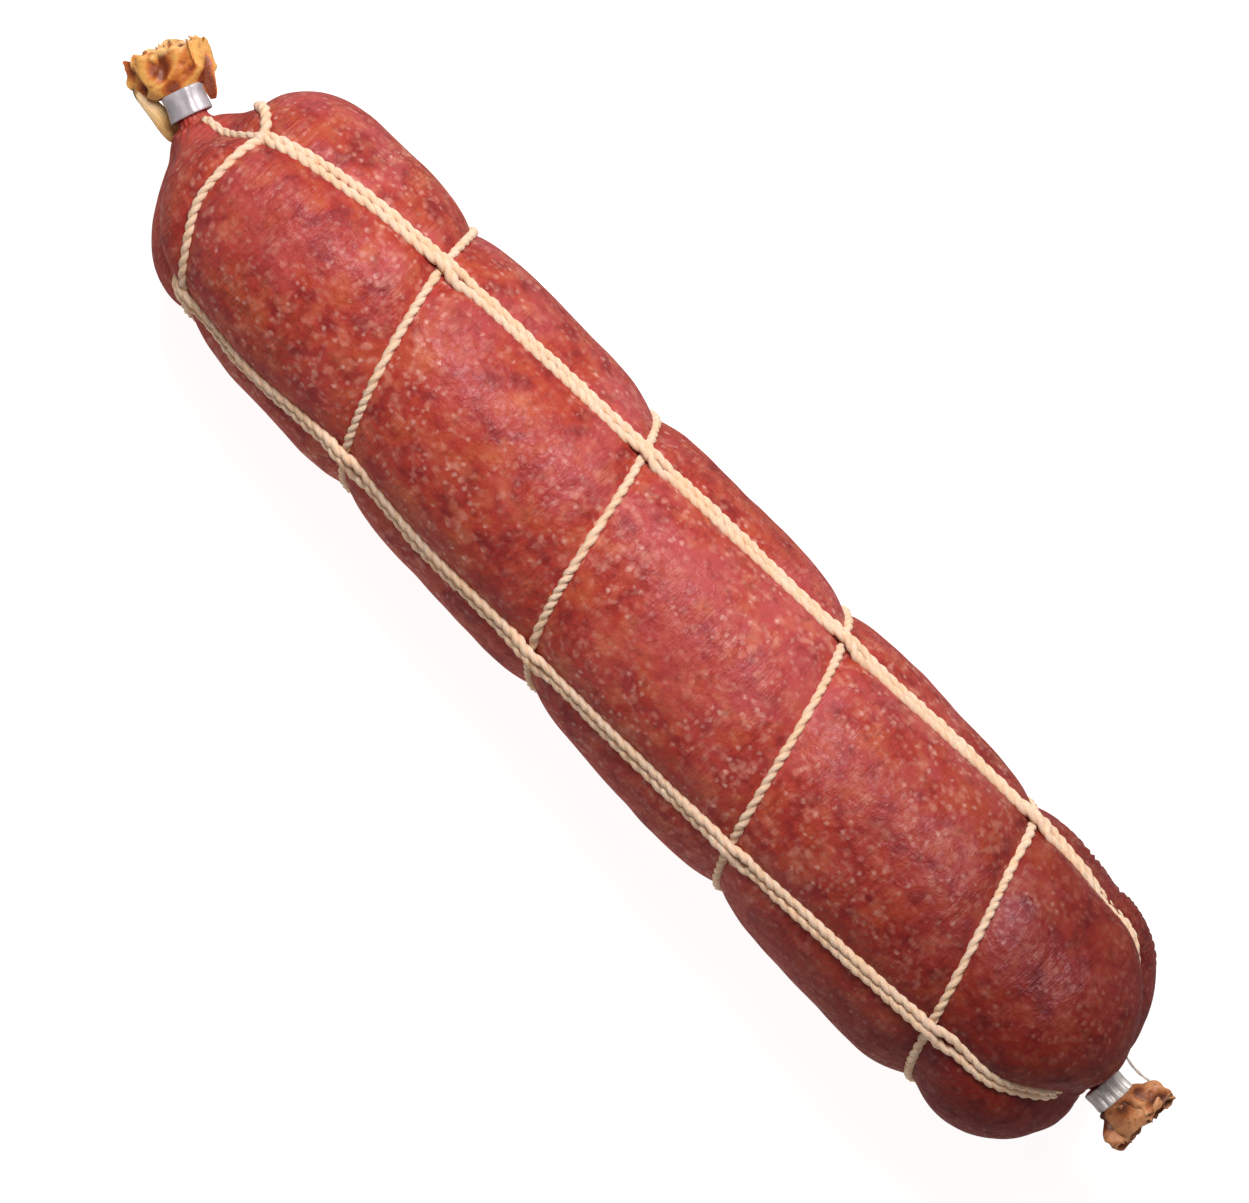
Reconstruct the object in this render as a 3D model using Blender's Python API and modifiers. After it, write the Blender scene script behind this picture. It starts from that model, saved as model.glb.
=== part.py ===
"""Cured sausage tied in a net of twine, as solids for Blender 4.5 (metres, +Z up).

The sausage lies along X with its hanging end, the head, at -X. The casing is one closed solid: body,
two gathered necks and two ruffled tails. Four doubled lines of twine run along the body and one strand
winds round it under them. A crimped clip shuts each neck. The origin is under the middle of the whole
object, on the surface it lies on.

Places on the body are given by u, the distance along its axis from the middle of the body towards the
foot, and by theta, the angle round the axis from straight up towards +Y.
"""

import math

import bmesh
import bpy
import numpy as np
from mathutils import Matrix, Vector
from mathutils.bvhtree import BVHTree

MM = 0.001
QUARTER = 90.0  # degrees
TURN = 360.0  # degrees

# Body
BODY_LENGTH = 264.0 * MM  # from dome to dome
BODY_MID_X = 4.7 * MM  # the head tail is the longer one, so the body sits off the middle
MIDDLE_RADIUS = 30.5 * MM  # of the lobes
RADIUS_GROWTH = 0.012  # the body thickens towards the foot
DOME_LENGTH = 26.0 * MM
DOME_POWER = {"head": 2.5, "foot": 2.2}  # blunt domes: 2 would be an ellipse
HEAD_SHOULDER = 1.3 * MM  # how much slimmer the body is where the head dome starts
FOOT_SHOULDER = 2.4 * MM
SHOULDER_SPREAD = 10.0 * MM
FLATTENED = 0.8 * MM  # how far the surface it lies on flattens the lowest lobes

# Gathered ends
NECK_RADIUS = {"head": 3.2 * MM, "foot": 2.5 * MM}
GATHER_FILLET = {"head": 1.0 * MM, "foot": 2.0 * MM}
GATHER_DEPTH = {"head": -2.9 * MM, "foot": 7.5 * MM}  # how far the neck starts inside the dome
GATHER_SPREAD = {"head": 8.0 * MM, "foot": 6.5 * MM}
GATHER_STEPS = 6
DOME_FACE = 9.0 * MM  # places given by u are read on the dome outside this radius
HEAD_BEND = 22.0  # degrees, the head's nose, neck and tail lean towards +Y
NOSE_SHIFT = 1.5 * MM  # the nose is moved that way too
NOSE_SPREAD = 12.0 * MM
FOOT_SHIFT = -1.0 * MM  # the foot's dome is fuller towards -Y
FOOT_SPREAD = 14.0 * MM
CREASE_DEPTH = {"head": 3.0 * MM, "foot": 5.5 * MM}  # the lines of twine cut the domes into lobes
CREASE_SPREAD = 18.0 * MM
CREASE_LIMIT = 0.38  # of the local radius
CREASE_WIDTH = 0.33  # of the local radius, the most a groove spreads beside a line
DENT_START = 5.0 * MM  # no dents inside this radius, full ones this much further out
DENT_EASE = 6.0 * MM

# Twine
STRAND = 1.9 * MM  # diameter
GAP = 0.3 * MM  # between pieces that touch
STRAND_STEP = STRAND + GAP
LINE_GROOVE = 1.8 * MM
LINE_GROOVE_SPREAD = 7.0 * MM
HOOP_GROOVE = 3.8 * MM
HOOP_GROOVE_SPREAD = 5.0 * MM
HOOP_GROOVE_FLAT = 1.6 * MM  # half-width of the groove's floor
DOME_GROOVE = 0.4  # how deep it still is at the domes' ends
PRESSED_FLAT = 4.2 * MM  # the same where the sausage lies on the strand
PRESSED_ANGLE = 42.0  # degrees each side of straight down
HUMP_TOP = 1.3 * MM  # half-width of a line's hump over the strand
HUMP_FOOT = 4.4 * MM
SUNK_RADIUS = 0.95  # a line lies at about this much of the lobes' radius
LINE_END_RADIUS = 6.5 * MM  # the lines end in the creases, by the necks
LINE_SPACING = 13.0 * MM  # between points, away from the humps
LEAST_SPACING = 1.6 * MM
DOME_POINTS = 5
LIFT_TRIES = 12

# Lobes that stand out further: (place in mm, angle, reach in mm, reach in degrees, height in mm)
FULLER_LOBES = [(-107, 90, 14, 35, 1.2), (-104, -90, 12, 30, 0.8), (112, 90, 15, 35, 2.0)]

# The angle of each upper line, as (u in mm, theta in degrees). The net is twisted a little.
RIGHT_LINE = [
    (-131, 22), (-120, 28), (-110, 31.5), (-98, 36), (-79, 39.5), (-55, 44.2), (-36, 47.2), (-12, 50.3),
    (15, 53.8), (40, 57.3), (62, 62.2), (82, 64), (96, 66), (105, 69.5), (115, 71.5), (131, 75),
]
LEFT_LINE = [
    (-131, -76), (-110, -70), (-88, -66), (-66, -57.5), (-42, -60), (-12, -55.6), (15, -52), (44, -46.9),
    (70, -41.8), (98, -35.8), (115, -33), (131, -26),
]
UNDER_SPACING = 87.0  # degrees from an upper line to the line below it

# The winding strand, as (angle wound in degrees, u in mm). It starts at +Y and turns over the top.
WINDING = [
    (-100, -131.2), (-60, -131), (0, -130.8), (35, -129.2), (61, -124.2), (90, -123.2), (114, -121.8),
    (138, -116.2), (158, -111.8), (180, -107.6), (360, -80.4), (410, -78.4), (505, -65.6), (540, -60.6),
    (720, -28.6), (764, -24), (865, -11.8), (900, -6), (1080, 26), (1113, 29.8), (1217, 43.3),
    (1260, 48.4), (1440, 79.4), (1471, 82.4), (1495, 84.6), (1520, 88.6), (1560, 95.6), (1609, 101.6),
    (1735, 114.5),
]
WINDING_STEP = 15.0  # degrees between points

# Mesh of the casing
AROUND = 32
LINE_FRACTIONS = (0.0, 0.055, 0.18, 0.34, 0.5, 0.66, 0.82, 0.945)  # columns from a line to the next
BARREL_RINGS = 31
DOME_RINGS = 6
DOME_CROWDING = 1.3  # the rings are closer by the necks
PROFILE_SAMPLES = 60
SLOPE_REACH = 1.5 * MM  # the surface's direction is measured over twice this

# Clips: crimped bands round the necks, as distances along the neck from the gather
CLIPS = {
    "head": {"middle": 3.7 * MM, "length": 5.6 * MM, "width": 9.2 * MM, "wall": 0.8 * MM},
    "foot": {"middle": 2.6 * MM, "length": 4.6 * MM, "width": 9.0 * MM, "wall": 0.7 * MM},
}
CLIP_FIT = 0.4 * MM  # from the neck to the clip
CLIP_SEGMENTS = 16
CLIP_WAIST = 0.07  # how much the crimp draws the band in

# Ruffled tails, past the clips. The rim is arched, and higher on one side by the slant.
TAILS = {
    "head": {"start": 6.7 * MM, "length": 12.0 * MM, "rim": 8.0 * MM, "flat": 0.62, "folds": (3, 5, 8)},
    "foot": {"start": 5.3 * MM, "length": 10.3 * MM, "rim": 7.8 * MM, "flat": 0.6, "folds": (2, 5, 7)},
}
TAIL_FLARE = 2.6  # how soon past the clip a tail is at its widest
TAIL_ARCH = 0.25
TAIL_SLANT = {"head": -0.1, "foot": 0.08}
FOLD_DEPTHS = (0.15, 0.11, 0.07)  # of the tail's radius, at the rim
TAIL_WALL = 0.42  # of the tail's radius
TAIL_MOUTH = 0.5  # how deep the tail is open, of its length
TAIL_RINGS = 5

# The winding strand's free end beside the head clip, as (along the neck, across it, up) in mm
FREE_END = [(8.6, -8.6, -1.5), (6.0, -7.2, -2), (3.2, -6.4, -3.2), (1.8, -5.8, -5.2), (1.2, -3.6, -8.4)]
# A thread end at the foot, as (along the neck, across it) in mm
THREAD = [(1.6, 7.2), (4.0, 6.8), (6.6, 7.2)]
THREAD_DIAMETER = 0.5 * MM

HALF = BODY_LENGTH / 2


def smooth_through(knots, x):
    """A smooth curve through (place, value) knots, level past both ends."""
    places, values = (np.array(column, float) for column in zip(*knots))
    slopes = np.gradient(values, places)
    i = np.clip(np.searchsorted(places, x) - 1, 0, len(places) - 2)
    step = places[i + 1] - places[i]
    t = np.clip((x - places[i]) / step, 0, 1)
    return (
        values[i] * (1 + 2 * t) * (1 - t) ** 2
        + values[i + 1] * t**2 * (3 - 2 * t)
        + step * (slopes[i] * t * (1 - t) ** 2 + slopes[i + 1] * t**2 * (t - 1))
    )


def smooth_step(x):
    """0 below 0, 1 above 1, eased between."""
    t = np.clip(x, 0, 1)
    return t * t * (3 - 2 * t)


def wrapped(angle):
    """The same angle between -180 and 180 degrees."""
    return (np.asarray(angle) + TURN / 2) % TURN - TURN / 2


# The body's profile


def crest_radius(u):
    """Radius of the lobes at u, before the domes round it off."""
    past_head = np.maximum(u + HALF - DOME_LENGTH, 0)
    past_foot = np.maximum(HALF - DOME_LENGTH - u, 0)
    return (
        MIDDLE_RADIUS
        + RADIUS_GROWTH * u
        - HEAD_SHOULDER * np.exp(-((past_head / SHOULDER_SPREAD) ** 2))
        - FOOT_SHOULDER * np.exp(-((past_foot / SHOULDER_SPREAD) ** 2))
    )


def dome_profile(end):
    """(u, radius) from the clip's far side over the gather to the start of the barrel."""
    sign = -1 if end == "head" else 1
    neck, fillet = NECK_RADIUS[end], GATHER_FILLET[end]
    angle = np.linspace(0, math.pi / 2, PROFILE_SAMPLES)
    power = 2 / DOME_POWER[end]
    u = sign * (HALF - DOME_LENGTH * (1 - np.cos(angle) ** power))
    radius = crest_radius(u) * np.sin(angle) ** power
    u = u - sign * GATHER_DEPTH[end] * np.exp(-((radius / GATHER_SPREAD[end]) ** 2))
    dome = radius > neck + fillet
    bend = np.linspace(0, math.pi / 2, GATHER_STEPS)[::-1]
    start = u[dome][0]
    fillet_u = start + sign * fillet * (1 - np.cos(bend))
    fillet_radius = neck + fillet * (1 - np.sin(bend))
    return np.concatenate([fillet_u, u[dome]]), np.concatenate([fillet_radius, radius[dome]])


def body_profile():
    """Tables of u, radius and length along the profile, from the head's neck to the foot's."""
    head_u, head_radius = dome_profile("head")
    foot_u, foot_radius = dome_profile("foot")
    barrel = np.linspace(head_u[-1], foot_u[-1], 4 * PROFILE_SAMPLES)[1:-1]
    u = np.concatenate([head_u, barrel, foot_u[::-1]])
    radius = np.concatenate([head_radius, crest_radius(barrel), foot_radius[::-1]])
    along = np.concatenate([[0], np.cumsum(np.hypot(np.diff(u), np.diff(radius)))])
    middle = np.interp(0, u[PROFILE_SAMPLES:-PROFILE_SAMPLES], along[PROFILE_SAMPLES:-PROFILE_SAMPLES])
    return u, radius, along - middle


PROFILE_U, PROFILE_RADIUS, PROFILE_ALONG = body_profile()
GATHER_U = {"head": PROFILE_U[0], "foot": PROFILE_U[-1]}


def profile_at(along):
    """u and radius at a length along the profile."""
    return np.interp(along, PROFILE_ALONG, PROFILE_U), np.interp(along, PROFILE_ALONG, PROFILE_RADIUS)


def along_at(u):
    """Length along the profile at u, over the domes' outer faces."""
    outer = PROFILE_RADIUS > DOME_FACE
    return np.interp(u, PROFILE_U[outer], PROFILE_ALONG[outer])


# The net of twine on the body


def line_angle(line, u):
    """The angle in degrees of a line of twine: 0 right, 1 under right, 2 under left, 3 left."""
    knots = RIGHT_LINE if line in (0, 1) else LEFT_LINE
    offset = {0: 0, 1: UNDER_SPACING, 2: TURN - UNDER_SPACING, 3: TURN}[line]
    return smooth_through(knots, u / MM) + offset


def winding_u(wound):
    return smooth_through(WINDING, wound) * MM


def winding_distance(along, theta):
    """Distance along the body from the nearest turn of the winding strand."""
    nearest = np.full(np.broadcast(along, theta).shape, 1.0)
    first, last = WINDING[0][0], WINDING[-1][0]
    for turn in range(math.floor(first / TURN), math.ceil(last / TURN) + 1):
        wound = QUARTER - wrapped(theta) + TURN * turn
        inside = (wound >= first) & (wound <= last)
        distance = along - along_at(winding_u(wound))
        closer = inside & (np.abs(distance) < np.abs(nearest))
        nearest = np.where(closer, distance, nearest)
    return nearest


def groove(distance, flat, spread):
    """1 on the groove's floor, falling off to its sides."""
    return np.exp(-np.maximum(np.abs(distance) - flat, 0) / spread)


def pressed(theta):
    """1 straight down, 0 away from the surface below."""
    return smooth_step((PRESSED_ANGLE - np.abs(wrapped(theta - TURN / 2))) / (PRESSED_ANGLE / 2))


def past_neck(radius):
    """0 at the necks, 1 on the domes and beyond."""
    return smooth_step((radius - DENT_START) / DENT_EASE)


def fuller(u, theta):
    """How much further the fullest lobes stand out."""
    return sum(
        height * MM * np.exp(-(((u / MM - place) / reach) ** 2) - (wrapped(theta - angle) / spread) ** 2)
        for place, angle, reach, spread, height in FULLER_LOBES
    )


def dent(u, radius, along, theta):
    """How deep the twine presses the casing in."""
    end = HALF - np.abs(u)
    away = np.min([np.abs(wrapped(theta - line_angle(line, u))) for line in range(4)], axis=0)
    line_distance = np.radians(away) * radius
    deepest = np.where(u < 0, CREASE_DEPTH["head"], CREASE_DEPTH["foot"])
    crease = deepest * np.exp(-((end / CREASE_SPREAD) ** 2))
    spread = np.minimum(LINE_GROOVE_SPREAD, CREASE_WIDTH * radius)
    line_depth = (LINE_GROOVE + crease) * groove(line_distance, STRAND_STEP, spread)
    flat = HOOP_GROOVE_FLAT + (PRESSED_FLAT - HOOP_GROOVE_FLAT) * pressed(theta)
    hoop_groove = HOOP_GROOVE * (DOME_GROOVE + (1 - DOME_GROOVE) * smooth_step(end / DOME_LENGTH))
    hoop_depth = hoop_groove * groove(winding_distance(along, theta), flat, HOOP_GROOVE_SPREAD)
    pressed_in = np.minimum(np.hypot(line_depth, hoop_depth) * past_neck(radius), CREASE_LIMIT * radius)
    return pressed_in - fuller(u, theta) * past_neck(radius)


def axis_height(u):
    """The body's underside is level, so its axis climbs as it thickens."""
    return MIDDLE_RADIUS + RADIUS_GROWTH * u - FLATTENED


def nose(u, radius):
    """1 at the head's neck, fading out over the head's dome."""
    return (u < 0) * np.exp(-((radius / NOSE_SPREAD) ** 2))


def sideways(u, radius):
    """How far the body's ends are moved towards +Y."""
    foot = np.exp(-(((HALF - u) / FOOT_SPREAD) ** 2)) * past_neck(radius)
    return NOSE_SHIFT * nose(u, radius) + FOOT_SHIFT * foot


def on_body(along, theta, lift=0.0):
    """Points of the body's surface, lifted off the dented casing, and their outward directions."""
    along, theta = np.broadcast_arrays(along, theta)
    u, radius = profile_at(along)
    before, after = profile_at(along - SLOPE_REACH), profile_at(along + SLOPE_REACH)
    slope_u, slope_r = after[0] - before[0], after[1] - before[1]
    length = np.hypot(slope_u, slope_r)
    out_u, out_r = -slope_r / length, slope_u / length
    sunk = dent(u, radius, along, theta) - lift
    across = radius - sunk * out_r
    sine, cosine = np.sin(np.radians(theta)), np.cos(np.radians(theta))
    turned = math.tan(math.radians(HEAD_BEND)) * nose(u, radius) * across * sine
    x = u - sunk * out_u + turned + BODY_MID_X
    y = across * sine + sideways(u, radius)
    place = np.stack([x, y, axis_height(u) + across * cosine], -1)
    return place, np.stack([out_u, out_r * sine, out_r * cosine], -1)


def neck_frame(end):
    """Where the neck leaves the gather, its direction, and the level direction across it."""
    u = GATHER_U[end]
    bend = math.radians(HEAD_BEND) if end == "head" else 0
    sign = -1 if end == "head" else 1
    start = np.array([u + BODY_MID_X, sideways(u, NECK_RADIUS[end]), axis_height(u)])
    direction = np.array([sign * math.cos(bend), math.sin(bend), 0])
    across = np.array([math.sin(bend), math.cos(bend), 0])
    return start, direction, across


# The casing


def column_angles(u):
    """The angles of the mesh's columns at u, which follow the four lines."""
    lines = [line_angle(line, u) for line in range(4)]
    lines.append(lines[0] + TURN)
    return np.array(
        [a + f * (b - a) for a, b in zip(lines, lines[1:]) for f in LINE_FRACTIONS]
    )


def body_rings():
    """Rings of points from the head's gather to the foot's."""
    first, last = PROFILE_ALONG[0], PROFILE_ALONG[-1]
    barrel_start = along_at(-HALF + DOME_LENGTH)
    barrel_end = along_at(HALF - DOME_LENGTH)
    t = (np.arange(DOME_RINGS + 1) / (DOME_RINGS + 1)) ** DOME_CROWDING
    places = np.concatenate(
        [
            first + (barrel_start - first) * t,
            np.linspace(barrel_start, barrel_end, BARREL_RINGS),
            last + (barrel_end - last) * t[::-1],
        ]
    )
    rings = []
    for along in places:
        theta = column_angles(profile_at(along)[0])
        ring, _ = on_body(along, theta)
        ring[:, 2] = np.maximum(ring[:, 2], 0)
        rings.append(ring)
    return rings


def tail_ring(end, reach, radius, fold):
    """A ring across the neck or tail. Its folds are as deep as fold says, from 0 to 1."""
    start, direction, across = neck_frame(end)
    tail = TAILS[end]
    theta = np.radians(column_angles(GATHER_U[end]))
    ripple = sum(
        depth * np.cos(count * theta + count) for depth, count in zip(FOLD_DEPTHS, tail["folds"])
    )
    flat = 1 - (1 - tail["flat"]) * fold
    wide = radius * (1 + fold * ripple)
    past_clip = max(reach - tail["start"], 0)
    sine = np.sin(theta)
    slanted = reach + past_clip * (TAIL_SLANT[end] * sine - TAIL_ARCH * sine**2)
    return (
        start
        + np.outer(slanted, direction)
        + np.outer(wide * sine, across)
        + np.outer(wide * np.cos(theta) * flat, [0, 0, 1])
    )


def tail_rings(end):
    """Rings from the gather through the clip to the rim and down into the tail's mouth, and the pole."""
    tail, neck = TAILS[end], NECK_RADIUS[end]
    rings = [tail_ring(end, reach, neck, 0) for reach in (CLIPS[end]["middle"], tail["start"])]
    for step in range(1, TAIL_RINGS + 1):
        t = step / TAIL_RINGS
        radius = neck + (tail["rim"] - neck) * (1 - (1 - t) ** TAIL_FLARE)
        rings.append(tail_ring(end, tail["start"] + tail["length"] * t, radius, smooth_step(t * 1.2)))
    for t in (0.97, 1 - TAIL_MOUTH):
        radius = (neck + (tail["rim"] - neck) * t) * (1 - TAIL_WALL)
        rings.append(tail_ring(end, tail["start"] + tail["length"] * t, radius, t))
    pole = tail_ring(end, tail["start"] + tail["length"] * (1 - TAIL_MOUTH), 0, 0)[0]
    return rings, pole


def casing():
    """One closed skin from the head tail's mouth to the foot tail's."""
    head_rings, head_pole = tail_rings("head")
    foot_rings, foot_pole = tail_rings("foot")
    rings = head_rings[::-1] + body_rings() + foot_rings
    bands = len(rings) + 1
    bm = bmesh.new()
    bmesh.ops.create_uvsphere(bm, u_segments=AROUND, v_segments=bands, radius=1)
    for vert in bm.verts:
        row = round(math.acos(max(-1, min(1, vert.co.z))) / math.pi * bands)
        if row in (0, bands):
            vert.co = head_pole if row == 0 else foot_pole
            continue
        column = round(math.atan2(vert.co.y, vert.co.x) / math.tau * AROUND) % AROUND
        vert.co = rings[row - 1][column]
    if bm.calc_volume(signed=True) < 0:
        bmesh.ops.reverse_faces(bm, faces=bm.faces)
    return add_mesh("casing", bm, "cured_casing")


# Twine


def lift_clear(points, outward, tree, clearance):
    """Moves points outwards until the path between them clears the tree."""
    points = points.copy()
    for _ in range(LIFT_TRIES):
        lift = np.zeros(len(points))
        for i in range(len(points) - 1):
            for t in (0, 0.25, 0.5, 0.75, 1):
                place = points[i] * (1 - t) + points[i + 1] * t
                short = clearance - tree.find_nearest(Vector(place))[3]
                lift[i] = max(lift[i], short)
                lift[i + 1] = max(lift[i + 1], short)
        if lift.max() <= 0:
            break
        points += outward * np.maximum(lift, 0)[:, None]
    return points


def winding_route(tree):
    """The winding strand, from its free end beside the head clip to the last line it meets."""
    first, last = WINDING[0][0], WINDING[-1][0]
    wound = np.linspace(first, last, round((last - first) / WINDING_STEP))
    rise = STRAND / 2 + GAP
    points, outward = on_body(along_at(winding_u(wound)), QUARTER - wound, rise)
    points = lift_clear(points, outward, tree, rise)
    start, direction, across = neck_frame("head")
    free = [start + direction * a * MM + across * b * MM + [0, 0, c * MM] for a, b, c in FREE_END]
    return np.concatenate([free, points])


def crossings(line):
    """The places along the body where a line crosses the winding strand."""
    wound = np.arange(WINDING[0][0], WINDING[-1][0], 0.5)
    u = winding_u(wound)
    off = wrapped(QUARTER - wound - line_angle(line, u))
    meets = (off[:-1] * off[1:] <= 0) & (np.abs(off[:-1]) < QUARTER)
    return along_at(u[:-1][meets])


def line_stations(line):
    """Where a line needs points: both sides of each hump, and evenly between."""
    ends = PROFILE_ALONG[PROFILE_RADIUS > LINE_END_RADIUS][[0, -1]]
    places = list(np.linspace(ends[0], ends[0] + DOME_LENGTH, DOME_POINTS))
    places += list(np.linspace(ends[1] - DOME_LENGTH, ends[1], DOME_POINTS))
    humps = [c for c in crossings(line) if ends[0] < c < ends[1]]
    for c in humps:
        places += [c - HUMP_FOOT, c - HUMP_TOP, c + HUMP_TOP, c + HUMP_FOOT]
    bounds = [ends[0] + DOME_LENGTH] + humps + [ends[1] - DOME_LENGTH]
    for a, b in zip(bounds, bounds[1:]):
        count = round((b - a) / LINE_SPACING)
        places += [a + (b - a) * i / count for i in range(1, count)]
    places = sorted(p for p in places if ends[0] <= p <= ends[1])
    kept = places[:1]
    for p in places[1:]:
        if p - kept[-1] > LEAST_SPACING:
            kept.append(p)
    return np.array(kept), humps


def line_route(line, side, tree):
    """One strand of a doubled line. side is -1 or 1, half a step off the line's middle."""
    along, humps = line_stations(line)
    u, radius = profile_at(along)
    theta = line_angle(line, u) + side * np.degrees(STRAND_STEP / 2 / (radius * SUNK_RADIUS))
    rise = STRAND / 2 + GAP
    over = sum(1 - smooth_step((np.abs(along - c) - HUMP_TOP) / (HUMP_FOOT - HUMP_TOP)) for c in humps)
    points, outward = on_body(along, theta, rise)
    points = points + outward * (STRAND_STEP * np.minimum(over, 1))[:, None]
    return lift_clear(points, outward, tree, rise)


def strand(name, points, diameter, finish):
    """A tube of twine along points."""
    curve = bpy.data.curves.new(name, "CURVE")
    curve.dimensions = "3D"
    curve.bevel_depth = diameter / 2
    curve.bevel_resolution = 1
    curve.use_fill_caps = True
    spline = curve.splines.new("POLY")
    spline.points.add(len(points) - 1)
    for target, place in zip(spline.points, points):
        target.co = (*place, 1)
    return add_object(name, curve, finish)


# Clips


def clip(end):
    """A crimped band round the neck: an open oval tube given a wall, drawn in at its middle."""
    shape = CLIPS[end]
    start, direction, across = neck_frame(end)
    inner = NECK_RADIUS[end] + CLIP_FIT
    bm = bmesh.new()
    bmesh.ops.create_cone(
        bm, cap_ends=False, segments=CLIP_SEGMENTS, radius1=inner, radius2=inner, depth=shape["length"]
    )
    walls = [e for e in bm.edges if abs(e.verts[0].co.z - e.verts[1].co.z) > shape["length"] / 2]
    bmesh.ops.subdivide_edges(bm, edges=walls, cuts=1)
    stretch = (shape["width"] / 2 - shape["wall"]) / inner
    for vert in bm.verts:
        middle = abs(vert.co.z) < shape["length"] / 4
        vert.co.x *= stretch * (1 - CLIP_WAIST * middle)
    obj = add_mesh(end + "_clip", bm, "clip_aluminium")
    solidify = obj.modifiers.new("wall", "SOLIDIFY")
    solidify.thickness = shape["wall"]
    solidify.offset = 1
    up = np.array([0, 0, 1])
    axes = Matrix([(*across, 0), (*up, 0), (*direction, 0), (0, 0, 0, 1)]).transposed()
    obj.matrix_world = Matrix.Translation(start + direction * shape["middle"]) @ axes
    return obj


# Blender objects

FINISHES = {
    "cured_casing": ((0.36, 0.055, 0.04), 0.42, 0),
    "twine": ((0.8, 0.6, 0.38), 0.85, 0),
    "clip_aluminium": ((0.62, 0.61, 0.62), 0.35, 1),
    "thread": ((0.45, 0.42, 0.4), 0.6, 0),
}


def material(finish):
    colour, roughness, metallic = FINISHES[finish]
    made = bpy.data.materials.get(finish) or bpy.data.materials.new(finish)
    made.use_nodes = True
    shader = made.node_tree.nodes["Principled BSDF"]
    shader.inputs["Base Color"].default_value = (*colour, 1)
    shader.inputs["Roughness"].default_value = roughness
    shader.inputs["Metallic"].default_value = metallic
    return made


def add_object(name, data, finish):
    data.materials.append(material(finish))
    obj = bpy.data.objects.new(name, data)
    bpy.data.collections["cured_sausage"].objects.link(obj)
    return obj


def add_mesh(name, bm, finish):
    mesh = bpy.data.meshes.new(name)
    bm.to_mesh(mesh)
    bm.free()
    mesh.shade_smooth()
    return add_object(name, mesh, finish)


def tree_of(objects):
    """A search tree over the objects' evaluated meshes, in world space."""
    depsgraph = bpy.context.evaluated_depsgraph_get()
    bm = bmesh.new()
    for obj in objects:
        mesh = bpy.data.meshes.new_from_object(obj.evaluated_get(depsgraph))
        mesh.transform(obj.matrix_world)
        bm.from_mesh(mesh)
        bpy.data.meshes.remove(mesh)
    tree = BVHTree.FromBMesh(bm)
    bm.free()
    return tree


def main():
    for obj in list(bpy.data.objects):
        bpy.data.objects.remove(obj)
    collection = bpy.data.collections.new("cured_sausage")
    bpy.context.scene.collection.children.link(collection)

    skin = casing()
    clips = [clip("head"), clip("foot")]
    winding = strand("twine_winding", winding_route(tree_of([skin])), STRAND, "twine")
    tree = tree_of([skin, winding] + clips)
    for line, place in enumerate(("right", "under_right", "under_left", "left")):
        for side, label in ((-1, "a"), (1, "b")):
            strand(f"twine_{place}_{label}", line_route(line, side, tree), STRAND, "twine")
    start, direction, across = neck_frame("foot")
    thread = [start + direction * a * MM + across * b * MM for a, b in THREAD]
    strand("foot_thread", thread, THREAD_DIAMETER, "thread")


main()
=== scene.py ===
"""Looks of a cured sausage tied in a net of twine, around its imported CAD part.

The sausage lies along X with its hanging end, the head, at -X. Places on the body are given by along, the
length along its profile, and by theta, the angle round its axis from straight up towards +Y. Lengths are in
metres and angles in degrees, unless a name says otherwise.
"""

import math

import bpy
import numpy as np
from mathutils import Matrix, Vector
from mathutils import noise as mathutils_noise


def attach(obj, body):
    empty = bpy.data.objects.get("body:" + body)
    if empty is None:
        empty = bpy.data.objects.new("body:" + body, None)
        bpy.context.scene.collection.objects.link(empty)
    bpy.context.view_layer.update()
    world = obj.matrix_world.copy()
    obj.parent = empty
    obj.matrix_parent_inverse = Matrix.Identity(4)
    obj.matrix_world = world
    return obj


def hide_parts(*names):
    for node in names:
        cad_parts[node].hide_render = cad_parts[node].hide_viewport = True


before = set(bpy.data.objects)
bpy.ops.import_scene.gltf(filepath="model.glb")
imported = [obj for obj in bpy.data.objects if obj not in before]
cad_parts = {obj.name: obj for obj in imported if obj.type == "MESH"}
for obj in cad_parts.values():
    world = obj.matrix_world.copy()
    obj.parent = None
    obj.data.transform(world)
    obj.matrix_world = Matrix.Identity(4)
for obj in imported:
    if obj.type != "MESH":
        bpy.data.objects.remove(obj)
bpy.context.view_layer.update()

MM = 0.001
QUARTER = 90.0
TURN = 360.0

# Body, as in the CAD part
BODY_LENGTH = 264.0 * MM
BODY_MID_X = 4.7 * MM
MIDDLE_RADIUS = 30.5 * MM
RADIUS_GROWTH = 0.012
DOME_LENGTH = 26.0 * MM
DOME_POWER = {"head": 2.5, "foot": 2.2}
HEAD_SHOULDER = 1.3 * MM
FOOT_SHOULDER = 2.4 * MM
SHOULDER_SPREAD = 10.0 * MM
FLATTENED = 0.8 * MM
NECK_RADIUS = {"head": 3.2 * MM, "foot": 2.5 * MM}
GATHER_FILLET = {"head": 1.0 * MM, "foot": 2.0 * MM}
GATHER_DEPTH = {"head": -2.9 * MM, "foot": 7.5 * MM}
GATHER_SPREAD = {"head": 8.0 * MM, "foot": 6.5 * MM}
GATHER_STEPS = 24
DOME_FACE = 9.0 * MM
HEAD_BEND = 22.0
NOSE_SHIFT = 1.5 * MM
NOSE_SPREAD = 12.0 * MM
FOOT_SHIFT = -1.0 * MM
FOOT_SPREAD = 14.0 * MM
CREASE_DEPTH = {"head": 2.2 * MM, "foot": 5.5 * MM}
CREASE_SPREAD = 18.0 * MM
CREASE_LIMIT = 0.38
CREASE_WIDTH = 0.33
DENT_START = 5.0 * MM
DENT_EASE = 6.0 * MM
PROFILE_SAMPLES = 400
SLOPE_REACH = 1.5 * MM
HALF = BODY_LENGTH / 2

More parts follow.
